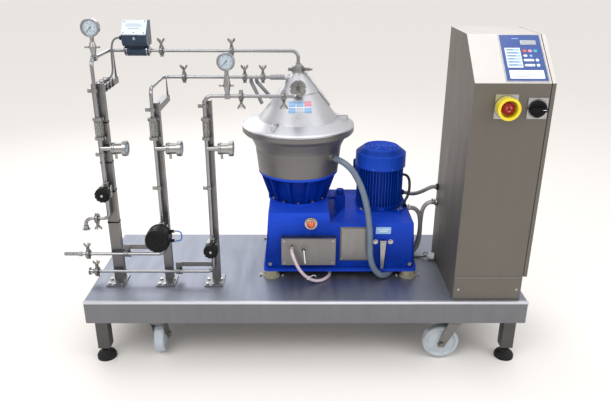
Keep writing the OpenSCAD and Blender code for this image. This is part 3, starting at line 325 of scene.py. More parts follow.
def make_materials():
    # the gains on faces that look up paint light from above onto the deck, casing, cabinet and stand steel
    steel("deck", 0.22, (60, 1.2, 1), (0.42, 0.6), (0.97, 0.99, 1.08), 0.12, top_light_gain=1.5)
    steel("frame", 0.11, (1, 1, 40), (0.35, 0.5))
    steel("casing", 0.175, (1, 1, 90), (0.36, 0.48), (1, 0.975, 0.97), 0.07, top_light_gain=2.5, metal=0.6)
    steel("hood", 0.56, (1, 1, 70), (0.36, 0.46), (0.98, 0.99, 1.05), 0.05)
    steel("cabinet", 0.15, (30, 30, 1), (0.46, 0.58), (1.03, 0.95, 0.84), 0.07, top_light_gain=4.4, metal=0.6)
    steel("box", 0.24, (60, 1, 1), (0.3, 0.45), (1, 0.98, 0.97))
    steel("tube", 0.33, (6, 6, 6), (0.14, 0.26), (0.97, 0.98, 1.03), 0.08, 0.00005)
    cast_steel("clamp", 0.3, 0.26)
    steel("stand", 0.2, (1, 1, 50), (0.32, 0.46), (1, 0.985, 0.98), top_light_gain=1.5)
    cast_steel("band", 0.22, 0.3)
    cast_steel("bolt", 0.45, 0.25)
    steel("fork", 0.22, (8, 8, 8), (0.36, 0.5), (1, 0.98, 0.94))
    steel("lever", 0.36, (1, 1, 40), (0.18, 0.3))
    cast_steel("bearing", 0.5, 0.35)
    steel("bowl", 0.62, (1, 1, 80), (0.2, 0.3))
    steel("disc", 0.7, (1, 1, 60), (0.15, 0.25))
    cast_steel("iron", 0.3, 0.5)
    paint("blue", (0.0005, 0.028, 0.30), (0.0005, 0.016, 0.2), 0.5, 0.05)
    paint("motor", (0.0005, 0.034, 0.3), (0.0005, 0.02, 0.2), 0.46, 0.05, 0.15, 260)
    paint("meter", (0.008, 0.017, 0.035), (0.005, 0.01, 0.022), 0.3, 0.3, 0.15)
    plastic("black", (0.004, 0.004, 0.005), 0.4, specular=0.15)
    plastic("rubber", (0.012, 0.012, 0.013), 0.62, 300, 0.4, specular=0.2)
    plastic("nylon", (0.42, 0.48, 0.54), 0.34, 240, 0.1, 0.2, 0.06)
    plastic("cream", (0.30, 0.28, 0.2), 0.5, 160, 0.3)
    plastic("yellow", (0.78, 0.62, 0.01), 0.28, 400, 0.08, 0.4, 0.06)
    plastic("red", (0.27, 0.006, 0.008), 0.3, 300, 0.1, 0.1, 0.1, 0.2)
    plastic("grey_hose", (0.13, 0.17, 0.23), 0.4, 260, 0.2, 0.15, 0.1)
    plastic("conduit", (0.23, 0.24, 0.26), 0.45, 300, 0.2)
    plastic("cable", (0.03, 0.035, 0.045), 0.5, 300, 0.2)
    clear("glass", (0.34, 0.36, 0.34), 0.42)
    braided("clear_hose", (0.52, 0.36, 0.44), (0.75, 0.68, 0.72))
    braided("pink_hose", (0.42, 0.37, 0.42), (0.62, 0.58, 0.62))
    cast_steel("sight_ring", 0.62, 0.3, 420, (1.0, 0.82, 0.62))
    plastic("membrane", (0.03, 0.075, 0.28), 0.38, 600, 0.05, 0.15, 0.05)
    paint("chassis", (0.55, 0.55, 0.52), (0.5, 0.5, 0.48), 0.4, 0.1)
    plastic("belt", (0.03, 0.03, 0.03), 0.7, 200, 0.4)
    plastic("white", (0.80, 0.81, 0.82), 0.35, 300, 0.06, 0.2, 0.03)
    plastic("side_hose", (0.30, 0.29, 0.28), 0.42, 260, 0.2, 0.2, 0.12)
    plastic("meter_cable", (0.14, 0.15, 0.16), 0.5, 300, 0.2)
    plastic("dial", (0.42, 0.53, 0.64), 0.45, 500, 0.03, 0.0, 0.03)
    prints = (("print", (0.03, 0.035, 0.05), 0.5, 0.03), ("green", (0.05, 0.3, 0.12), 0.5, 0.03),
        ("navy", (0.03, 0.06, 0.2), 0.4, 0.03), ("key_red", (0.75, 0.12, 0.05), 0.4, 0.05),
        ("key_pink", (0.75, 0.3, 0.4), 0.4, 0.05), ("key_teal", (0.05, 0.45, 0.5), 0.4, 0.05),
        ("label_blue", (0.28, 0.5, 0.8), 0.45, 0.04), ("label_grey", (0.55, 0.6, 0.68), 0.45, 0.04))
    for look, colour, rough, bump in prints:
        plastic(look, colour, rough, 400, bump)
    clear("clear", (0.9, 0.93, 0.95), 0.12, 0.02)
    paint("cover", (0.56, 0.68, 0.82), (0.48, 0.6, 0.76), 0.3, 0.3, 0.1)
    cast_steel("silver", 0.5, 0.3, 700, (0.98, 0.99, 1.0))
    steel("bright", 0.26, (60, 1, 1), (0.25, 0.36))
    # painted highlight: very light steel for the strip over the deck's front fold
    steel("fold", 0.78, (60, 1, 1), (0.3, 0.42), (0.95, 0.97, 1.06), 0.05, metal=0.4)
    steel("plate", 0.5, (60, 1, 1), (0.3, 0.42), (0.98, 0.99, 1.02), 0.05)
    plastic("display", (0.36, 0.42, 0.46), 0.12, 500, 0.02, 0.6, 0.04)
    plastic("orange", (0.62, 0.1, 0.03), 0.14, 300, 0.03, 0.8, 0.2)
    plastic("air", (0.06, 0.16, 0.42), 0.32, 300, 0.05, 0.3)
    plastic("grey_plastic", (0.42, 0.45, 0.47), 0.4, 300, 0.1)


NODE_LOOKS = {
    "deck": "skid_deck", "frame": "skid_frame", "blue": "machine_base pedestal", "cream": "machine_feet",
    "casing": "bowl_casing", "hood": "hood", "clamp": "pipe_clamps line_fittings", "box": "solenoid_box",
    "sight_ring": "oil_sight_glass", "motor": "motor_housing", "bearing": "spindle_bearings",
    "belt": "drive_belt", "stand": "pipe_stands", "tube": "upper_line middle_line front_line",
    "glass": "sight_tubes", "lever": "gauge_cases brake_lever", "meter": "flow_meter",
    "cabinet": "cabinet_body cover_plates cabinet_door", "membrane": "control_panel",
    "yellow": "switch_bezels", "chassis": "cabinet_chassis", "bolt": "fasteners", "red": "estop_button",
    "black": "valve_actuator main_switch_knob handwheel_left handwheel_right gauge_needle_left "
        "gauge_needle_right",
    "bowl": "bowl_shell spindle", "disc": "disc_stack", "iron": "motor_rotor",
    "fork": "caster_fork_%d", "nylon": "caster_wheel_%d", "rubber": "foot_%d",
}
# bevel widths in millimetres for CAD nodes whose edges are softened
NODE_EDGES = {"skid_deck": 0.8, "machine_base": 3.0, "cabinet_body": 1.0, "cabinet_door": 0.8,
    "solenoid_box": 0.8, "cover_plates": 0.4, "line_fittings": 0.8, "switch_bezels": 1.0, "skid_frame": 1.0,
    "main_switch_knob": 1.2, "flow_meter": 3.0}


def soften(obj, width, segments, angle):
    """Rounds edges sharper than the angle, by a width in millimetres."""
    bevel = obj.modifiers.new("edges", "BEVEL")
    bevel.width = width * MM
    bevel.segments = segments
    bevel.limit_method = "ANGLE"
    bevel.angle_limit = radians(angle)
    bevel.harden_normals = True


def dress_nodes():
    for look, names in NODE_LOOKS.items():
        for name in [names % i for i in range(1, 5)] if "%d" in names else names.split():
            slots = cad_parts[name].data.materials
            slots.clear()
            slots.append(MATERIALS[look])
    for name, width in NODE_EDGES.items():
        soften(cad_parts[name], width, 2, 40)


# --- shaped pieces
def frame_at(p, d):
    """Places local X, Y, Z at p with Z along d; X is to the right for a face seen from outside."""
    w = Vector(d).normalized()
    u = Vector(UP if abs(w.z) < 0.99 else (0, 1, 0)).cross(w).normalized()
    v = w.cross(u)
    return Matrix(((u.x, v.x, w.x, p[0]), (u.y, v.y, w.y, p[1]), (u.z, v.z, w.z, p[2]), (0, 0, 0, 1)))


def spun(place, angle):
    return place @ Matrix.Rotation(radians(angle), 4, "Z")


def rounded(width, height, radius, steps=5, centre=(0, 0)):
    out = []
    for quarter, (sx, sy) in enumerate(((1, 1), (-1, 1), (-1, -1), (1, -1))):
        cx, cy = sx * (width / 2 - radius) + centre[0], sy * (height / 2 - radius) + centre[1]
        for k in range(steps + 1):
            a = radians(90 * (quarter + k / steps))
            out.append((cx + radius * cos(a), cy + radius * sin(a)))
    return out


def circle(radius, sides=32, centre=(0, 0)):
    turns = [tau * k / sides for k in range(sides)]
    return [(centre[0] + radius * cos(a), centre[1] + radius * sin(a)) for a in turns]


class Piece:
    """Gathers shaped parts, in the deck frame and millimetres, and makes one object of them."""

    def __init__(self, name, *looks):
        self.name = name
        self.looks = looks
        self.bm = bmesh.new()

    def faces(self, verts, faces, look):
        made = [self.bm.verts.new(v) for v in verts]
        for face in faces:
            self.bm.faces.new([made[i] for i in face]).material_index = look

    def lathe(self, p, d, profile, look=0, sides=40):
        """Turns an outline of (radius, height) round the axis d through p."""
        place = frame_at(p, d)
        verts, rings = [], []
        for r, z in profile:
            count = 1 if r < 1e-6 else sides
            rings.append(list(range(len(verts), len(verts) + count)))
            for k in range(count):
                a = tau * k / sides
                verts.append(place @ Vector((r * cos(a), r * sin(a), z)))
        faces = []
        for low, high in zip(rings, rings[1:]):
            for k in range(sides):
                n = (k + 1) % sides
                quad = [low[k % len(low)], low[n % len(low)], high[n % len(high)], high[k % len(high)]]
                quad = [v for i, v in enumerate(quad) if v not in quad[:i]]
                if len(quad) > 2:
                    faces.append(quad)
        self.faces(verts, faces, look)
        return self

    def extrude(self, place, outline, low, high, look=0):
        n = len(outline)
        verts = [place @ Vector((x, y, z)) for z in (low, high) for x, y in outline]
        faces = [list(range(n))[::-1], list(range(n, 2 * n))]
        faces += [[i, (i + 1) % n, n + (i + 1) % n, n + i] for i in range(n)]
        self.faces(verts, faces, look)

    def plate(self, place, size, low, high, look=0, steps=5, centre=(0, 0)):
        """Extrudes a rounded rectangle; size is its width, height and corner radius."""
        self.extrude(place, rounded(*size, steps, centre), low, high, look)

    def block(self, a, b, look=0):
        place = Matrix.Translation(Vector(a))
        size = Vector(b) - Vector(a)
        outline = ((0, 0), (size.x, 0), (size.x, size.y), (0, size.y))
        self.extrude(place, outline, 0, size.z, look)

    def tube(self, points, radius, look=0, sides=12, uv=False):
        """Sweeps a round section along points; uv lays the braid's map along the tube."""
        pts = [Vector(p) for p in points]
        tangents = [(pts[min(i + 1, len(pts) - 1)] - pts[max(i - 1, 0)]).normalized()
            for i in range(len(pts))]
        side = frame_at(pts[0], tangents[0]).col[0].xyz
        rings = []
        for point, w in zip(pts, tangents):
            side = (side - w * side.dot(w)).normalized()
            other = w.cross(side)
            rings.append([self.bm.verts.new(point + radius * (cos(a) * side + sin(a) * other))
                for a in (tau * k / sides for k in range(sides))])
        layer = self.bm.loops.layers.uv.verify() if uv else None
        along = 0.0
        for i, (low, high) in enumerate(zip(rings, rings[1:])):
            further = along + (pts[i + 1] - pts[i]).length * MM
            for k in range(sides):
                n = (k + 1) % sides
                face = self.bm.faces.new((low[k], low[n], high[n], high[k]))
                face.material_index = look
                if uv:
                    spots = ((along, k), (along, k + 1), (further, k + 1), (further, k))
                    for loop, (u, v) in zip(face.loops, spots):
                        loop[layer].uv = (u, v / sides)
            along = further
        for ring in (rings[0][::-1], rings[-1]):
            self.bm.faces.new(ring).material_index = look
        return self

    def make(self, slot, body="root", replaces=(), edge=0, segments=2):
        for vert in self.bm.verts:
            vert.co = deck(*vert.co)
        bmesh.ops.recalc_face_normals(self.bm, faces=self.bm.faces)
        mesh = bpy.data.meshes.new(self.name)
        for face in self.bm.faces:
            face.smooth = True
        self.bm.to_mesh(mesh)
        self.bm.free()
        obj = add_object(self.name, mesh)
        for look in self.looks:
            mesh.materials.append(MATERIALS[look])
        if edge:
            soften(obj, edge, segments, 35)
        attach(obj, body)
        if replaces:
            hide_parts(*replaces)
        return obj


def bar(start, end, half):
    return (start, -half), (end, -half), (end, half), (start, half)


def polar(radius, angle):
    return radius * cos(radians(angle)), radius * sin(radians(angle))


def screw(piece, p, d, r=4.0, h=2.0, look=0, hexed=False):
    """A fastener head on a surface: domed with a slot, or six-sided with a socket."""
    if hexed:
        place = frame_at(p, d)
        piece.extrude(place, circle(r, 6), 0, h, look)
        piece.lathe(p, d, ((r * 0.55, h), (r * 0.5, h + 0.4), (0, h + 0.4)), look, 16)
    else:
        piece.lathe(p, d, ((r, 0), (r, h * 0.5), (r * 0.8, h * 0.9), (r * 0.45, h), (r * 0.42, h * 0.5),
            (0, h * 0.5)), look, 20)


# --- hoses and cables
ROUTES = {
    "casing_hose": ((112.2, 278.5, 518), (131, 261, 517), (158, 240, 508), (187, 222, 484), (211, 209, 446),
        (231, 199, 400), (247, 190, 345), (257, 184, 290), (264, 180, 235), (267, 178, 180), (270, 177, 125),
        (280, 178, 80), (298, 181, 45), (321, 187, 22.5), (345, 204, 14.5), (366, 233, 14.5),
        (378, 274, 14.5)),
    "drain_hose": ((-60, 170, 155), (-60, 150, 154), (-56, 134, 145), (-47, 127, 122), (-35, 126, 94),
        (-18, 130, 65), (4, 137, 39), (32, 148, 18), (62, 163, 9.5), (86, 184, 9.5), (100, 210, 9.5),
        (104, 240, 9.5), (100, 270, 9.5)),
    "cabinet_hose": ((581.7, 434, 262), (562, 435, 260), (545, 438, 248), (535, 443, 226), (531, 448, 195),
        (530, 452, 155), (530, 456, 115), (528, 460, 78), (521, 462, 46), (507, 463, 24), (488, 464, 13.5),
        (464, 465, 13.5)),
    "side_hose": ((463.3, 425, 236), (480, 425, 237), (500, 425, 228), (514, 425, 208), (521, 425, 180),
        (524, 425, 145), (524, 425, 105), (521, 424, 70), (513, 422, 42), (499, 420, 23), (482, 419, 13.5),
        (462, 418, 13.5)),
    "motor_cable": ((424.6, 434.9, 392), (440, 438, 391), (453, 438, 383), (461, 434, 367), (463, 427, 344),
        (460, 418, 318), (453, 409, 298), (443, 401, 282), (440, 398, 267.3)),
    "conduit": ((581.7, 434, 335), (566, 435, 334), (550, 440, 325), (532, 451, 310), (514, 468, 294),
        (497, 489, 281), (482, 511, 273), (467, 531, 270), (450.3, 536, 270)),
    "meter_cable": ((-753.7, 400, 986), (-766, 400, 985), (-779, 398, 975), (-786, 394, 955),
        (-788, 388, 925), (-789, 386, 895), (-790, 386, 868), (-792, 380, 847), (-796, 364, 835),
        (-799, 338, 832.4), (-800, 300, 832.4), (-800, 260, 832.4), (-800, 224, 832.4)),
    "plug_cable": ((468, 392, 5), (490, 396, 4.6), (512, 397, 4.6), (532, 391, 6), (546, 384, 11),
        (558, 380, 16.4)),
}
# radius in millimetres, material, slot and stiffness of each
HOSES = {
    "casing_hose": (13, "grey_hose", "grey_hose", "medium"),
    "drain_hose": (7, "clear_hose", "clear_hose", "limp"),
    "cabinet_hose": (10, "pink_hose", "pink_hose", "limp"),
    "side_hose": (10, "side_hose", "grey_hose", "limp"),
    "motor_cable": (6, "cable", "cable_black", "medium"),
    "conduit": (9, "conduit", "conduit_grey", "medium"),
    "meter_cable": (4, "meter_cable", "conduit_grey", "medium"),
    "plug_cable": (4, "meter_cable", "conduit_grey", "medium"),
}


def spline_points(route, steps=6):
    """Points of the same smooth curve that the CAD tube follows."""
    pts = [Vector(p) for p in route]
    out = []
    for i in range(len(pts) - 1):
        a, b, c, d = pts[max(i - 1, 0)], pts[i], pts[i + 1], pts[min(i + 2, len(pts) - 1)]
        for k in range(steps):
            t = k / steps
            out.append(0.5 * (2 * b + (c - a) * t + (2 * a - 5 * b + 4 * c - d) * t ** 2
                + (3 * b - a - 3 * c + d) * t ** 3))
    return out + [pts[-1]]


def make_plug():
    d = (1, -0.1, 0)
    plug = Piece("deck_plug", "white", "black")
    plug.lathe((556, 380, 16.4), d, ((0, 0), (9.4, 0), (11, 1.5), (11, 8), (13, 8), (15.5, 10), (16, 12),
        (16, 17), (15, 18), (15, 20), (16, 21), (16, 29), (15, 32), (11, 32), (11, 26), (0, 26)), 0)
    for k in range(10):
        a = tau * k / 10
        side = Vector((0, cos(a), sin(a))) * 15.6
        plug.tube([Vector((565.5, 379, 16.4)) + side * 0.99, Vector((572, 378.4, 16.4))
            + side * 0.99], 0.8, 0, 6)
    plug.tube(spline_points(((560, 376, 28), (552, 374, 36), (543, 376, 35), (540, 382, 27), (545, 386, 19),
        (552, 383, 15)), 5), 1.5, 1, 8)
    return plug.make("white_plastic", replaces=("plug_cable",), edge=0.3)


def make_hoses():
    plug = make_plug()
    for node, (radius, material, slot, stiffness) in HOSES.items():
        points = spline_points(ROUTES[node])
        hose = Piece(node + "_piece", material).tube(points, radius, 0, 20, uv=True)
        hose = hose.make(slot, replaces=(node,))


def make_hose_clamps():
    """Steel bands with a screw block near the hose ends."""
    bands = Piece("hose_bands", "bolt")
    for node, index in (("casing_hose", 3), ("drain_hose", 2), ("cabinet_hose", 3), ("side_hose", 2)):
        points = spline_points(ROUTES[node])
        radius = HOSES[node][0]
        p, d = points[index], points[index + 1] - points[index - 1]
        bands.lathe(p, d, ((radius - 0.2, -5), (radius + 1.1, -5), (radius + 1.3, 0), (radius + 1.1, 5),
            (radius - 0.2, 5)), 0, 32)
        place = frame_at(p, d)
        bands.plate(place, (9, 6, 1.5), -4.5, 4.5, 0, 3, (0, radius + 3))
        bands.lathe(place @ Vector((4.5, radius + 3, 0)), place.col[0].xyz,
            ((0, 3), (2.2, 3), (2.8, 2.4), (2.8, 0)), 0, 12)
    bands.make("bolt_steel", edge=0.3)


# --- instruments
def make_gauges():
    for name, place in zip(("left", "right"), GAUGES):
        dial = Piece("gauge_dial_" + name, "dial", "print", "green")
        dial.lathe(place, FRONT, ((0, 6.05), (29.7, 6.05), (29.7, 6.5), (29.2, 6.8), (0, 6.8)), 0, 56)
        at = frame_at(place, FRONT)
        for k in range(51):
            major = k % 10 == 0
            angle = 225 - 270 * k / 50
            spin = spun(at, angle)
            reach = 21.0 if major else (23.5 if k % 5 == 0 else 24.8)
            wide = 0.55 if major else 0.22
            dial.extrude(spin, bar(reach, 27, wide), 6.7, 6.95, 1)
            if major:
                figure = at @ Matrix.Translation(Vector((*polar(17.2, angle), 0)))
                dial.plate(figure, (3.4, 2.2, 0.5), 6.7, 6.93, 1, 3)
        for w, h, look, v in ((12, 1.6, 1, -11), (7, 1.2, 1, -14.5), (8, 1.4, 2, 11)):
            dial.plate(at, (w, h, 0.4), 6.7, 6.93, look, 3, (0, v))
        dial.make("gauge_steel")
        Piece("gauge_bezel_" + name, "tube").lathe(place, FRONT,
            ((29.9, 12.9), (30.3, 14.5), (31.4, 15.2), (33, 14.9), (34.3, 13.4), (34.4, 9), (33.4, 8.6),
            (33.4, 12), (31.5, 13.2), (29.9, 12.9)), 0, 64).make("gauge_steel")
        Piece("gauge_glass_" + name, "clear").lathe(place, FRONT,
            ((0, 12.3), (18, 12.2), (29.8, 11.8), (29.8, 11.2), (0, 11.4)), 0,
            48).make("sight_tube_glass")
        hub = Piece("gauge_hub_" + name, "black")
        hub.lathe(place, FRONT, ((3.4, 9.05), (3.4, 9.7), (2.4, 10.2), (0, 10.2)), 0, 20)
        hub.make("black_plastic", body="needle_" + name)


def make_side_dials():
    for i, x in enumerate(RISERS):
        face = (x + (98 if i == 0 else 100), RISER_Y, SIGHT_HEIGHT)
        dial = Piece("side_dial_%d" % (i + 1), "dial", "print", "tube", "navy")
        dial.lathe(face, RIGHT, ((0, 0.05), (25, 0.05), (25, 0.7), (0, 0.7)))
        dial.lathe(face, RIGHT, ((25, 0), (25, 2), (26, 3.2), (28.8, 3.5), (30.8, 2.4), (31.2, 0),
            (25, 0)), 2, 48)
        dial.lathe(face, RIGHT, ((17, 0.7), (17, 1.0), (20, 1.0), (20, 0.7)), 3)
        at = frame_at(face, RIGHT)
        for k in range(25):
            spin = spun(at, 225 - 270 * k / 24)
            dial.extrude(spin, bar(20.5, 23.8, 0.35), 0.6, 0.95, 1)
        spin = spun(at, 130 - 40 * i)
        dial.extrude(spin, ((-5, -1), (18, -0.4), (18, 0.4), (-5, 1)), 1.1, 1.6, 1)
        dial.lathe(face, RIGHT, ((2.6, 0.7), (2.6, 2), (0, 2)), 1, 16)
        # clamp band and screws round the body of the instrument
        back = (face[0] - 52, RISER_Y, SIGHT_HEIGHT)
        dial.lathe(back, RIGHT, ((22, -3), (23.4, -3), (24.4, 0), (24.4, 4), (23.4, 7), (22, 7)), 2)
        for k in range(4):
            dy, dz = polar(26.5, 45 + 90 * k)
            screw(dial, (face[0] - 14.05, RISER_Y + dy, SIGHT_HEIGHT + dz), LEFT, 2.6, 2.0, 2)
        dial.make("gauge_steel")


def make_flow_meter():
    n = Vector((0, -52, 50)).normalized()
    at = frame_at((-687.5, 391, 1026), n)
    cover = Piece("meter_cover", "cover", "print", "bolt")
    cover.plate(at, (97, 71, 6), 0.05, 5.2)
    for v, width in ((14, 62), (5, 70), (-6, 48)):
        cover.plate(at, (width, 2.2, 0.8), 5.0, 5.35, 1, 3, (-3, v))
    for u, v in ((0, -27), (-41, 28), (41, 28), (-41, -28), (41, -28)):
        screw(cover, at @ Vector((u, v, 5.2)), n, 3.2, 1.8, 2)
    cover.make("meter_paint", edge=1.2, segments=3)
    trim = Piece("meter_trim", "black", "bolt")
    for x in (-735, -640):
        trim.lathe((x, AXIS_Y, UPPER_LINE), RIGHT if x < -700 else LEFT,
            ((7.2, -7), (13, -7), (17, -3), (17, 3), (22.4, 5), (22.4, 9), (7.2, 9)), 1)
    trim.lathe((-753, 400, 986), LEFT, ((4.1, -16), (10, -16), (10, -8), (8.6, -6), (8.6, -2), (6.4, 0.2),
        (4.1, 0.2)), 0, 20)
    trim.lathe((-687.5, 366, 986), FRONT, ((0, 0.8), (4, 0.6), (5, 0)), 1, 20)
    trim.make("meter_paint", edge=0.4)


# --- cabinet
SLOPE_ANGLE = atan2(CAB_H - CAB_FRONT_H, CAB_SLOPE_Y - CAB_Y)
PANEL_W, PANEL_L = 148.0, hypot(CAB_H - CAB_FRONT_H, CAB_SLOPE_Y - CAB_Y) - 16


def panel_place():
    """Panel coordinates: X to the right and Y up the slope from the membrane's lower left corner."""
    turn = Matrix.Translation(Vector((CAB_X, CAB_Y, CAB_FRONT_H))) @ Matrix.Rotation(SLOPE_ANGLE, 4, "X")
    return turn @ Matrix.Translation(Vector((116, 10, 1.5)))


def make_panel():
    at = panel_place()

    def patch(piece, u0, u1, v0, v1, look, high=0.5, radius=2.0):
        """A patch by its share of the panel: u from the left, v from the top."""
        w, h = (u1 - u0) * PANEL_W, (v1 - v0) * PANEL_L
        centre = ((u0 + u1) / 2 * PANEL_W, (1 - (v0 + v1) / 2) * PANEL_L)
        piece.plate(at, (w, h, min(radius, w / 2.01, h / 2.01)), 0.0, high, look, 5, centre)

    keys = Piece("panel_keys", "silver", "white", "display", "key_red", "key_pink", "key_teal",
        "print", "label_blue")
    patch(keys, 0.50, 0.89, 0.12, 0.22, 0, 0.7)
    patch(keys, 0.53, 0.86, 0.142, 0.198, 2, 0.9, 0.8)
    patch(keys, 0.08, 0.46, 0.29, 0.72, 1, 0.25)
    for k in range(6):
        patch(keys, 0.10, 0.44, 0.315 + 0.066 * k, 0.355 + 0.066 * k, 7, 0.4, 1.5)
        patch(keys, 0.13, 0.13 + 0.05 * (3 + (k * 2) % 3), 0.329 + 0.066 * k, 0.341 + 0.066 * k, 6, 0.5, 0.6)
    for u, look in ((0.57, 3), (0.70, 4), (0.83, 5)):
        patch(keys, u - 0.045, u + 0.045, 0.33, 0.385, look, 0.9, 4)
    patch(keys, 0.515, 0.61, 0.44, 0.485, 1, 0.9, 4)
    patch(keys, 0.67, 0.73, 0.44, 0.485, 7, 0.6, 4)
    for v in (0.56, 0.67):
        patch(keys, 0.50, 0.755, v - 0.024, v + 0.024, 1, 0.9, 5)
        patch(keys, 0.79, 0.875, v - 0.03, v + 0.03, 1, 0.9, 6)
        patch(keys, 0.53, 0.60, v - 0.005, v + 0.005, 6, 1.0, 0.5)
        patch(keys, 0.66, 0.72, v - 0.005, v + 0.005, 6, 1.0, 0.5)
    patch(keys, 0.09, 0.93, 0.775, 0.955, 1, 0.35)
    for k in range(3):
        patch(keys, 0.14, 0.80 - 0.12 * k, 0.81 + 0.045 * k, 0.818 + 0.045 * k, 6, 0.45, 0.5)
    patch(keys, 0.30, 0.47, 0.075, 0.09, 7, 0.3, 0.8)
    keys.make("membrane", edge=0.12)
    rim = Piece("panel_rim", "silver")
    for u0, u1, v0, v1 in ((-0.025, 1.025, -0.018, 0.0), (-0.025, 1.025, 1.0, 1.018),
            (-0.025, 0.0, 0.0, 1.0), (1.0, 1.025, 0.0, 1.0)):
        w, h = (u1 - u0) * PANEL_W, (v1 - v0) * PANEL_L
        rim.plate(at, (w, h, 0.8), -1.45, 0.2, 0, 3, ((u0 + u1) / 2 * PANEL_W, (1 - (v0 + v1) / 2) * PANEL_L))
    rim.make("cabinet_steel", edge=0.2)


def make_switches():
    cap = Piece("estop_cap", "red", "white")
    cap.lathe((ESTOP[0], CAB_Y, ESTOP[1]), FRONT, ((0, 38.2), (8, 37.8), (13, 36.8), (15.6, 36.02),
        (15.6, 35.6), (0, 35.6)), 0)
    at = frame_at((ESTOP[0], CAB_Y, ESTOP[1]), FRONT)
    for k in range(3):
        arc = [polar(10.2, 120 * k + a) for a in range(0, 76, 8)] + [polar(9.4, 120 * k + a)
            for a in range(72, -1, -8)]
        cap.extrude(at, arc, 37.2, 38.0, 1)
    cap.make("red_plastic", body="estop")
    plates = Piece("switch_plates", "print", "bolt", "plate")
    for (x, z), (w, h) in ((ESTOP, (83, 89)), (SWITCH, (73, 77))):
        face = frame_at((x, PLATE_Y, z), FRONT)
        inner = w / 2 if x == ESTOP[0] else 33.5
        plates.plate(face, (w - 0.6, h - 0.6, 2), 0.02, 0.14, 2)
        plates.lathe((x, PLATE_Y, z), FRONT, ((inner, 0), (inner, 0.9), (inner + 1.2, 0.9),
            (inner + 1.2, 0)), 0, 56)
        for sx, sz in CORNERS:
            screw(plates, face @ Vector((sx * (w / 2 - 5), sz * (h / 2 - 5), 0)), FRONT, 2.6, 1.4, 1)
    face = frame_at((SWITCH[0], PLATE_Y, SWITCH[1]), FRONT)
    plates.plate(face, (1.6, 7, 0.5), 0, 0.5, 0, 3, (0, 36.2))
    plates.extrude(face, circle(3.2, 20, (-35, 0)), 0, 0.5)
    plates.make("cabinet_steel", edge=0.15)
    grip = Piece("switch_grip", "black", "white")
    at = frame_at((SWITCH[0], CAB_Y, SWITCH[1]), FRONT)
    grip.plate(at, (58, 15.5, 6), 16.2, 30.2, 0, 6)
    grip.plate(at, (14, 2.0, 0.9), 30.0, 30.6, 1, 4, (18, 0))
    grip.make("black_plastic", body="switch_knob", edge=2.0, segments=3)


def make_cabinet_trim():
    trim = Piece("plinth_lip", "bright")
    trim.block((CAB_X + 1, CAB_Y - 2.6, 100.5), (CAB_X + CAB_W - 1, CAB_Y - 0.05, 104.5))
    trim.make("cabinet_steel", edge=0.8)
    latch = Piece("door_latch", "tube")
    latch.lathe((883, 44, 516), RIGHT, ((11.2, 0.1), (13, 0.6), (13.4, 2), (12.4, 3.8), (11.2, 4.4)), 0)
    latch.make("cabinet_steel", body="door")
    gasket = Piece("door_gasket", "rubber")
    x0, x1 = 866.2, 868.9
    for a, b in (((24, 108), (30, 874)), ((440, 108), (446, 1024)), ((24, 108), (446, 114)),
            ((202, 1018), (446, 1024))):
        gasket.block((x0, a[0], a[1]), (x1, b[0], b[1]))
    gasket.make("foot_rubber", edge=0.5)


# --- separator
def cone_point(x, r, lift):
    """A point on the front of the hood's cone, x right of the bowl axis at radius r."""
    y = -sqrt(r * r - x * x)
    normal = Vector((x / r * CONE_SLOPE, y / r * CONE_SLOPE, 1)).normalized()
    return Vector((BOWL_X + x, AXIS_Y + y, CONE_Z + (CONE_R - r) * CONE_SLOPE)) + normal * lift


def make_hood_labels():
    labels = Piece("hood_labels", "label_blue", "white", "key_pink", "label_grey")

    def patch(x0, x1, r0, r1, look, lift):
        steps = 10
        verts, faces = [], []
        for layer in (lift - 0.5, lift):
            for k in range(steps + 1):
                x = x0 + (x1 - x0) * k / steps
                verts += [cone_point(x, r0, layer), cone_point(x, r1, layer)]
        half = 2 * (steps + 1)
        for a in range(0, 2 * steps, 2):
            b = half + a
            faces += [[b, b + 1, b + 3, b + 2], [a, a + 2, a + 3, a + 1], [a, b, b + 2, a + 2],
                [a + 1, a + 3, b + 3, b + 1]]
        faces += [[0, 1, half + 1, half], [half - 2, 2 * half - 2, 2 * half - 1, half - 1]]
        labels.faces(verts, faces, look)

    patch(-41, 56, 98, 133, 1, 0.6)
    for row, (r0, r1) in enumerate(((99.5, 114), (117, 131.5))):
        for col in range(3):
            look = 2 if (row, col) == (0, 2) else 3 if (row, col) == (1, 1) else 0
            patch(-38 + 31.5 * col, -9.5 + 31.5 * col, r0, r1, look, 0.85)
    patch(-32, 48, 139, 159, 1, 0.6)
    for r in (143, 148, 153):
        patch(-24, 34 - (r % 4) * 6, r, r + 1.2, 3, 0.75)
    labels.make("hood_steel")


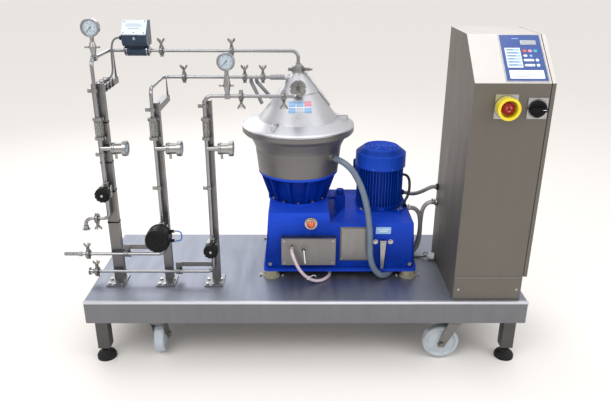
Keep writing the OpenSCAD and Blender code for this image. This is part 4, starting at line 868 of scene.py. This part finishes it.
def make_separator_trim():
    # seam and clamping ring under the hood rim
    ring = Piece("hood_seam", "rubber")
    ring.lathe(BOWL_FOOT, UP, ((236.4, 627.2), (237.25, 627.4), (237.25, 628.6), (236.4, 628.8)), 0, 128)
    ring.make("hood_steel")
    welds = Piece("hood_beads", "hood")
    for r, z in ((82.5, 773.6), (167.5, 661.5), (25, 847.4)):
        welds.lathe(BOWL_FOOT, UP, ((r - 1.2, z), (r, z + 1.4), (r + 1.3, z + 0.6), (r + 1.6, z - 1)), 0, 96)
    welds.make("hood_steel")
    centre = (20, 196, 256)
    lens = Piece("oil_lens", "orange", "bolt", "sight_ring")
    lens.lathe(centre, FRONT, ((0, 13), (6, 12.2), (11, 9.4), (14.2, 5.2), (15.4, 0)))
    lens.lathe(centre, FRONT, ((15.4, 0), (15.6, 4), (17.2, 4.8), (19.6, 4.0), (20.4, 0)), 2)
    at = frame_at((20, 202, 256), FRONT)
    for k in range(6):
        dx, dz = polar(23.4, 30 + 60 * k)
        screw(lens, at @ Vector((dx, dz, 0)), FRONT, 2.0, 1.6, 1)
    lens.make("sight_ring")
    box = Piece("solenoid_box_lid", "box", "bolt", "black")
    at = frame_at((10, 176, 138), FRONT)
    box.plate(at, (222, 118, 4), 0.05, 1.6)
    for x in (-60, -10):
        face = (x, 170.2, 155)
        box.lathe(face, FRONT, ((10.1, -5.5), (12.5, -5.5), (12.5, -1), (11.6, 0), (8.0, 0.3),
            (8.0, -5)), 1, 6)
        box.lathe(face, FRONT, ((8, 0), (9.6, 0.2), (9.6, 6), (8.6, 7.4), (7.4, 7.6)), 1, 24)
    box.lathe((-10, 170, 155), FRONT, ((7.6, 6), (7.6, 9.5), (6, 11), (0, 11)), 2, 24)
    box.make("box_steel", edge=0.5)
    tie = Piece("drain_tie", "white")
    hose = spline_points(ROUTES["drain_hose"])
    p, d = hose[37], hose[38] - hose[36]
    tie.lathe(p, d, ((7.3, -2.2), (8.6, -2.2), (8.6, 2.2), (7.3, 2.2), (7.3, -2.2)), 0, 28)
    tie.tube(spline_points(((p.x + 2, p.y - 9, p.z + 2), (p.x + 12, p.y - 13, p.z + 14),
        (p.x + 25, p.y - 10, p.z + 18), (p.x + 33, p.y - 4, p.z + 8)), 5), 1.4, 0, 8)
    tie.tube(spline_points(((-10, 158.6, 155), (-9, 152, 148), (-7, 147, 128), (-4, 143, 100)),
        5), 2.4, 0, 10)
    tie.make("white_plastic")
    label = Piece("base_label", "label_blue", "white")
    at = frame_at((325.5, 210, 222), FRONT)
    label.plate(at, (64, 31, 2.5), 0.0, 0.7)
    for w, v in ((50, 4), (34, -4)):
        label.plate(at, (w, 3, 1.2), 0.6, 0.85, 1, 4, (0, v))
    label.make("blue_paint", edge=0.1)
    rim = Piece("inspection_rim", "bright", "bolt")
    at = frame_at((209, 208, 160), FRONT)
    rim.plate(at, (118, 144, 5), 0.05, 0.9)
    for sx, sz in CORNERS:
        screw(rim, at @ Vector((sx * 58, sz * 71, 0)), FRONT, 3.2, 1.8, 1)
    rim.make("cabinet_steel", edge=0.3)


def make_motor_trim():
    lid = Piece("terminal_lid", "motor", "bolt", "silver")
    dx, dy = polar(132, 120)
    d = (*polar(1, 120), 0)
    at = frame_at((MOTOR_X + dx, AXIS_Y + dy, 396), d)
    lid.plate(at, (95, 95, 9), 0.05, 7)
    for sx, sz in CORNERS:
        screw(lid, at @ Vector((sx * 39, sz * 39, 7)), d, 4, 2.4, 1)
    nx, ny = polar(101.6, 40)
    side = frame_at((MOTOR_X + nx, AXIS_Y + ny, 330), (*polar(1, 40), 0))
    lid.plate(side, (52, 34, 3), 0, 1.2, 2)
    for k in range(8):
        sx, sy = polar(106.2, 22.5 + 45 * k)
        screw(lid, (MOTOR_X + sx, AXIS_Y + sy, 455), (*polar(1, 22.5 + 45 * k), 0), 3.4, 2.2, 1)
    lid.make("motor_paint", edge=1.0)
    rings = Piece("cowl_rings", "motor")
    for r in (20, 38, 56, 73):
        rings.lathe(COWL_TOP, UP, ((r, 0), (r + 0.6, 1.2), (r + 2.2, 1.2), (r + 2.8, 0)), 0, 72)
    rings.lathe(COWL_TOP, UP, ((0, 2.2), (7, 2.0), (9, 0)), 0, 32)
    rings.lathe((MOTOR_X, AXIS_Y, 0), UP, ((107.8, 450), (109, 451), (109, 453), (107.8, 454)), 0, 96)
    rings.make("motor_paint")
    glands = Piece("cable_glands", "black", "bolt")
    gx, gy = polar(102, 14)
    for place, d, look, profile in (((440, 398, 255), UP, 0,
            ((10.5, 0), (10.5, 5), (9.6, 6), (9.6, 10), (7.6, 12.4), (6.1, 12.4))),
            ((MOTOR_X + gx, AXIS_Y + gy, 392), (gx, gy, 0), 0,
            ((12, -10), (12, -4), (10, -3), (10, 1), (6.2, 2.4))),
            ((463, 425, 236), RIGHT, 1, ((13.4, -9), (14.6, -9), (14.6, -2), (13, 0), (10.1, 0))),
            ((582, 434, 262), LEFT, 1, ((16.4, -10), (17, -9), (17, -4), (14, -2), (12.6, 0), (10.1, 0))),
            ((582, 434, 335), LEFT, 0, ((14.4, -10), (15, -9), (15, -4), (12.4, -2), (11, 0), (9.1, 0))),
            ((450, 536, 270), RIGHT, 0, ((12, -0.05), (12.6, 1), (12.6, 5), (11, 8), (9.1, 8.4)))):
        glands.lathe(place, d, profile, look, 24)
    glands.make("black_plastic")


# --- pipework trim
def strap(piece, low, high, axis, at):
    """A cable tie round a box from low to high, across the given axis at the given place."""
    t, w = 1.3, 2.6
    (a0, b0), (a1, b1) = low, high
    sides = [(a0 - t, b0 - t, a1 + t, b0, w), (a0 - t, b1, a1 + t, b1 + t, w), (a0 - t, b0, a0, b1, w),
        (a1, b0, a1 + t, b1, w)]
    buckle = (a0 + 4, b0 - 5, a0 + 9, b0 - 1, 3.4) if axis == "z" else (a1 + 0.5, b0 + 6, a1
        + 4.5, b0 + 11, 3.4)
    for p0, q0, p1, q1, half in (*sides, buckle):
        if axis == "z":
            piece.block((p0, q0, at - half), (p1, q1, at + half))
        else:
            piece.block((p0, at - half, q0), (p1, at + half, q1))


def make_ties():
    ties = Piece("cable_ties", "black")
    for z in (690, 527, 405, 267, 128):
        strap(ties, (-821.4, 189.6), (-776.6, 218.4), "z", z)
    for y in (250, 292, 336):
        strap(ties, (-817.4, 801.6), (-780.6, 837), "y", y)
    ties.make("black_plastic", edge=0.4)


def make_valve_trim():
    heads = Piece("valve_bolts", "bolt")
    for x, z in zip(RISERS, OUTLET_HEIGHTS):
        for sx, sz in CORNERS if x != RISERS[1] else ():
            screw(heads, (x + sx * 17, RISER_Y - 26, z + sz * 17), FRONT, 3.4, 2.6, 0, True)
        for dz in (-34, 31):
            heads.lathe((x, RISER_Y, z + dz), UP, ((11.05, 0), (13.4, 0.4), (13.4, 2.8), (11.05, 3.2)), 0, 32)
    heads.make("bolt_steel")
    for body, i in (("handwheel_left", 0), ("handwheel_right", 2)):
        cap = Piece(body + "_cap", "black", "bolt")
        at = (RISERS[i], RISER_Y - 34, OUTLET_HEIGHTS[i])
        cap.lathe(at, FRONT, ((22, 36.02), (20, 37.2), (15, 37.6), (12, 36.6), (11, 36.4), (0, 36.4)))
        cap.lathe(at, FRONT, ((5.5, 36.4), (5.5, 38.6), (4.4, 39.6), (0, 39.8)), 1, 24)
        cap.make("black_plastic", body=body)
    act = Piece("actuator_trim", "black", "air", "bolt")
    at = (RISERS[1], RISER_Y - 30.3, OUTLET_HEIGHTS[1])
    act.lathe(at, FRONT, ((43, 92.02), (41, 93.6), (36, 93.6), (34, 92.4), (20, 92.4), (18, 94.2), (8, 94.2),
        (7, 92.8), (0, 92.8)), 0, 56)
    for z in (30, 74):
        act.lathe(at, FRONT, ((48.02, z - 3), (49.4, z - 2), (49.4, z + 2), (48.02, z + 3)), 0, 64)
    for k in range(12):
        dx, dz = polar(48.4, 30 * k)
        act.tube([(at[0] + dx, at[1] - y, at[2] + dz) for y in (36, 68)], 1.4, 0, 8)
    y = RISER_Y - 64.3
    for z in (265, 223):
        act.lathe((-532, y, z), RIGHT, ((0, 4), (4.6, 4), (5.6, 3), (5.6, 0)), 2, 20)
    act.tube(spline_points(((-530, y, 265), (-516, y, 265), (-506, y, 259), (-503, y, 244), (-506, y, 229),
        (-516, y, 223), (-530, y, 223)), 5), 3.0, 1, 12)
    act.make("black_plastic")


# middle of each pipe clamp, and 1 where its wing nut is above or -1 where it is below
CLAMPS = ((-857, RISER_Y, 293, -1), (-590, AXIS_Y, UPPER_LINE, 1), (-305, AXIS_Y, UPPER_LINE, 1),
    (-505, AXIS_Y, MIDDLE_LINE, 1), (-180, AXIS_Y, MIDDLE_LINE, 1), (-255, AXIS_Y, MIDDLE_LINE, 1),
    (-250, RISER_Y, FRONT_LINE, -1), (-913, RISER_Y, LOW_OUTLETS[0], 1), (-885, RISER_Y, LOW_OUTLETS[1], 1),
    (-88, RISER_Y, FRONT_LINE, -1))


def make_clamp_bands():
    """The two-part band of each pipe clamp, with its hinge, swing bolt and wing nut."""
    bands = Piece("clamp_bands", "band", "clamp")
    for x, y, z, side in CLAMPS:
        bands.lathe((x, y, z), RIGHT, ((17.02, -6.5), (19.5, -6.5), (20.5, -3), (20.5, 3), (19.5, 6.5),
            (17.02, 6.5)), 0, 36)
        for sign in (-1, 1):
            low, high = sorted((z + side * 18, z + side * 27))
            bands.block((x - 5, y + min(0, sign * 8), low), (x + 5, y + max(0, sign * 8), high), 0)
        bands.lathe((x - 7, y, z - side * 21), RIGHT, ((0, 0), (4, 0), (4, 14), (0, 14)), 1, 16)
        nut = Vector((x, y, z + side * 33))
        bands.lathe(nut, (0, 0, side), ((6.9, -3), (7.6, 0), (6.4, 6), (0, 6.4)), 1, 20)
        for sign in (-1, 1):
            place = spun(frame_at(nut + Vector((sign * 7, 0, side * 3)), FRONT), -sign * side * 28)
            wing = [(-3, -2), (3, -2), (4.5, 6), (4, 12), (1.6, 15), (-1.6, 15), (-4, 12), (-4.5, 6)]
            bands.extrude(place, [(u, side * v) for u, v in wing][::side], -2.2, 2.2, 1)
    bands.make("clamp_steel", edge=0.4)


def make_outlet_saddles():
    """Saddles that hold the two lower outlet tubes to their brackets."""
    saddles = Piece("outlet_saddles", "stand", "bolt")
    for x, z in zip((-755, -543), LOW_OUTLETS):
        saddles.lathe((x - 9, RISER_Y, z), RIGHT, ((7.2, 0), (10, 0), (10, 18), (7.2, 18)), 0, 32)
        saddles.block((x - 9, RISER_Y + 7.5, z - 8), (x + 9, RISER_Y + 14, z + 8))
        for dz in (-14, 14):
            screw(saddles, (x, RISER_Y + 13.9, z + dz), FRONT, 4, 3, 1, True)
    saddles.make("stand_steel", edge=0.6)


def make_deck_fold_highlight():
    """A painted highlight on the outside of the deck's front fold, over the plate's edge: a strip of much
    lighter steel.
    """
    fold = Piece("deck_fold_highlight", "fold")
    outline = ((13, 0.05), (13, 0.3), (2.5, 0.45), (0.6, 0.3), (-0.25, -0.7), (-0.4, -3), (-0.4, -9),
        (-0.02, -9.4), (-0.02, 0.05))
    fold.extrude(frame_at((0, 0, 0), RIGHT), outline, -899, 899)
    fold.make("deck_steel")


def make_skid_trim():
    welds = Piece("leg_welds", "frame")
    for x in (-LEG_X, LEG_X):
        for y in WHEEL_ROWS:
            outline = [(x + 25 * u, y + 25 * v) for u, v in ((-1, -1), (1, -1), (1, 1), (-1, 1), (-1, -1))]
            for (ax, ay), (bx, by) in zip(outline, outline[1:]):
                welds.tube(((ax, ay, -103.5), (bx, by, -103.5)), 2.2, 0, 8)
    welds.make("frame_steel")
    casters = [(x, y) for y in WHEEL_ROWS for x in (-CASTER_X, CASTER_X)]
    for i, (x, y) in enumerate(casters, 1):
        angle = 90 if i == 1 else 180
        dx, dy = polar(50, angle)
        hub = Piece("wheel_hub_%d" % i, "grey_plastic")
        side = Vector((-sin(radians(angle)), cos(radians(angle)), 0))
        for sign in (-1, 1):
            at = Vector((x + dx, y + dy, -222))
            hub.lathe(at, side * sign, ((12, 24.02), (14.5, 23.4), (20, 20), (27, 16), (29, 14.9), (29, 14)))
            hub.lathe(at, side * sign, ((61, 19), (61.6, 20.4), (70.2, 20.4), (70.6, 19)), 0, 64)
        hub.make("wheel_nylon", body="wheel_%d" % i)
        race = Piece("swivel_race_%d" % i, "fork", "black")
        race.lathe((x, y, 0), UP, ((34.05, -123), (36.5, -122), (37.5, -118), (36, -113.5),
            (34.05, -113)), 0, 48)
        race.lathe((x, y, 0), UP, ((33, -112.2), (34.4, -112), (34.4, -110.2), (33, -110)), 1, 48)
        race.make("fork_steel", body="fork_%d" % i)


for build in (make_camera, make_stage, make_materials, dress_nodes, make_hoses, make_hose_clamps,
        make_gauges, make_side_dials, make_flow_meter, make_panel, make_switches, make_cabinet_trim,
        make_hood_labels, make_separator_trim, make_motor_trim, make_ties, make_valve_trim, make_clamp_bands,
        make_outlet_saddles, make_deck_fold_highlight, make_skid_trim):
    build()
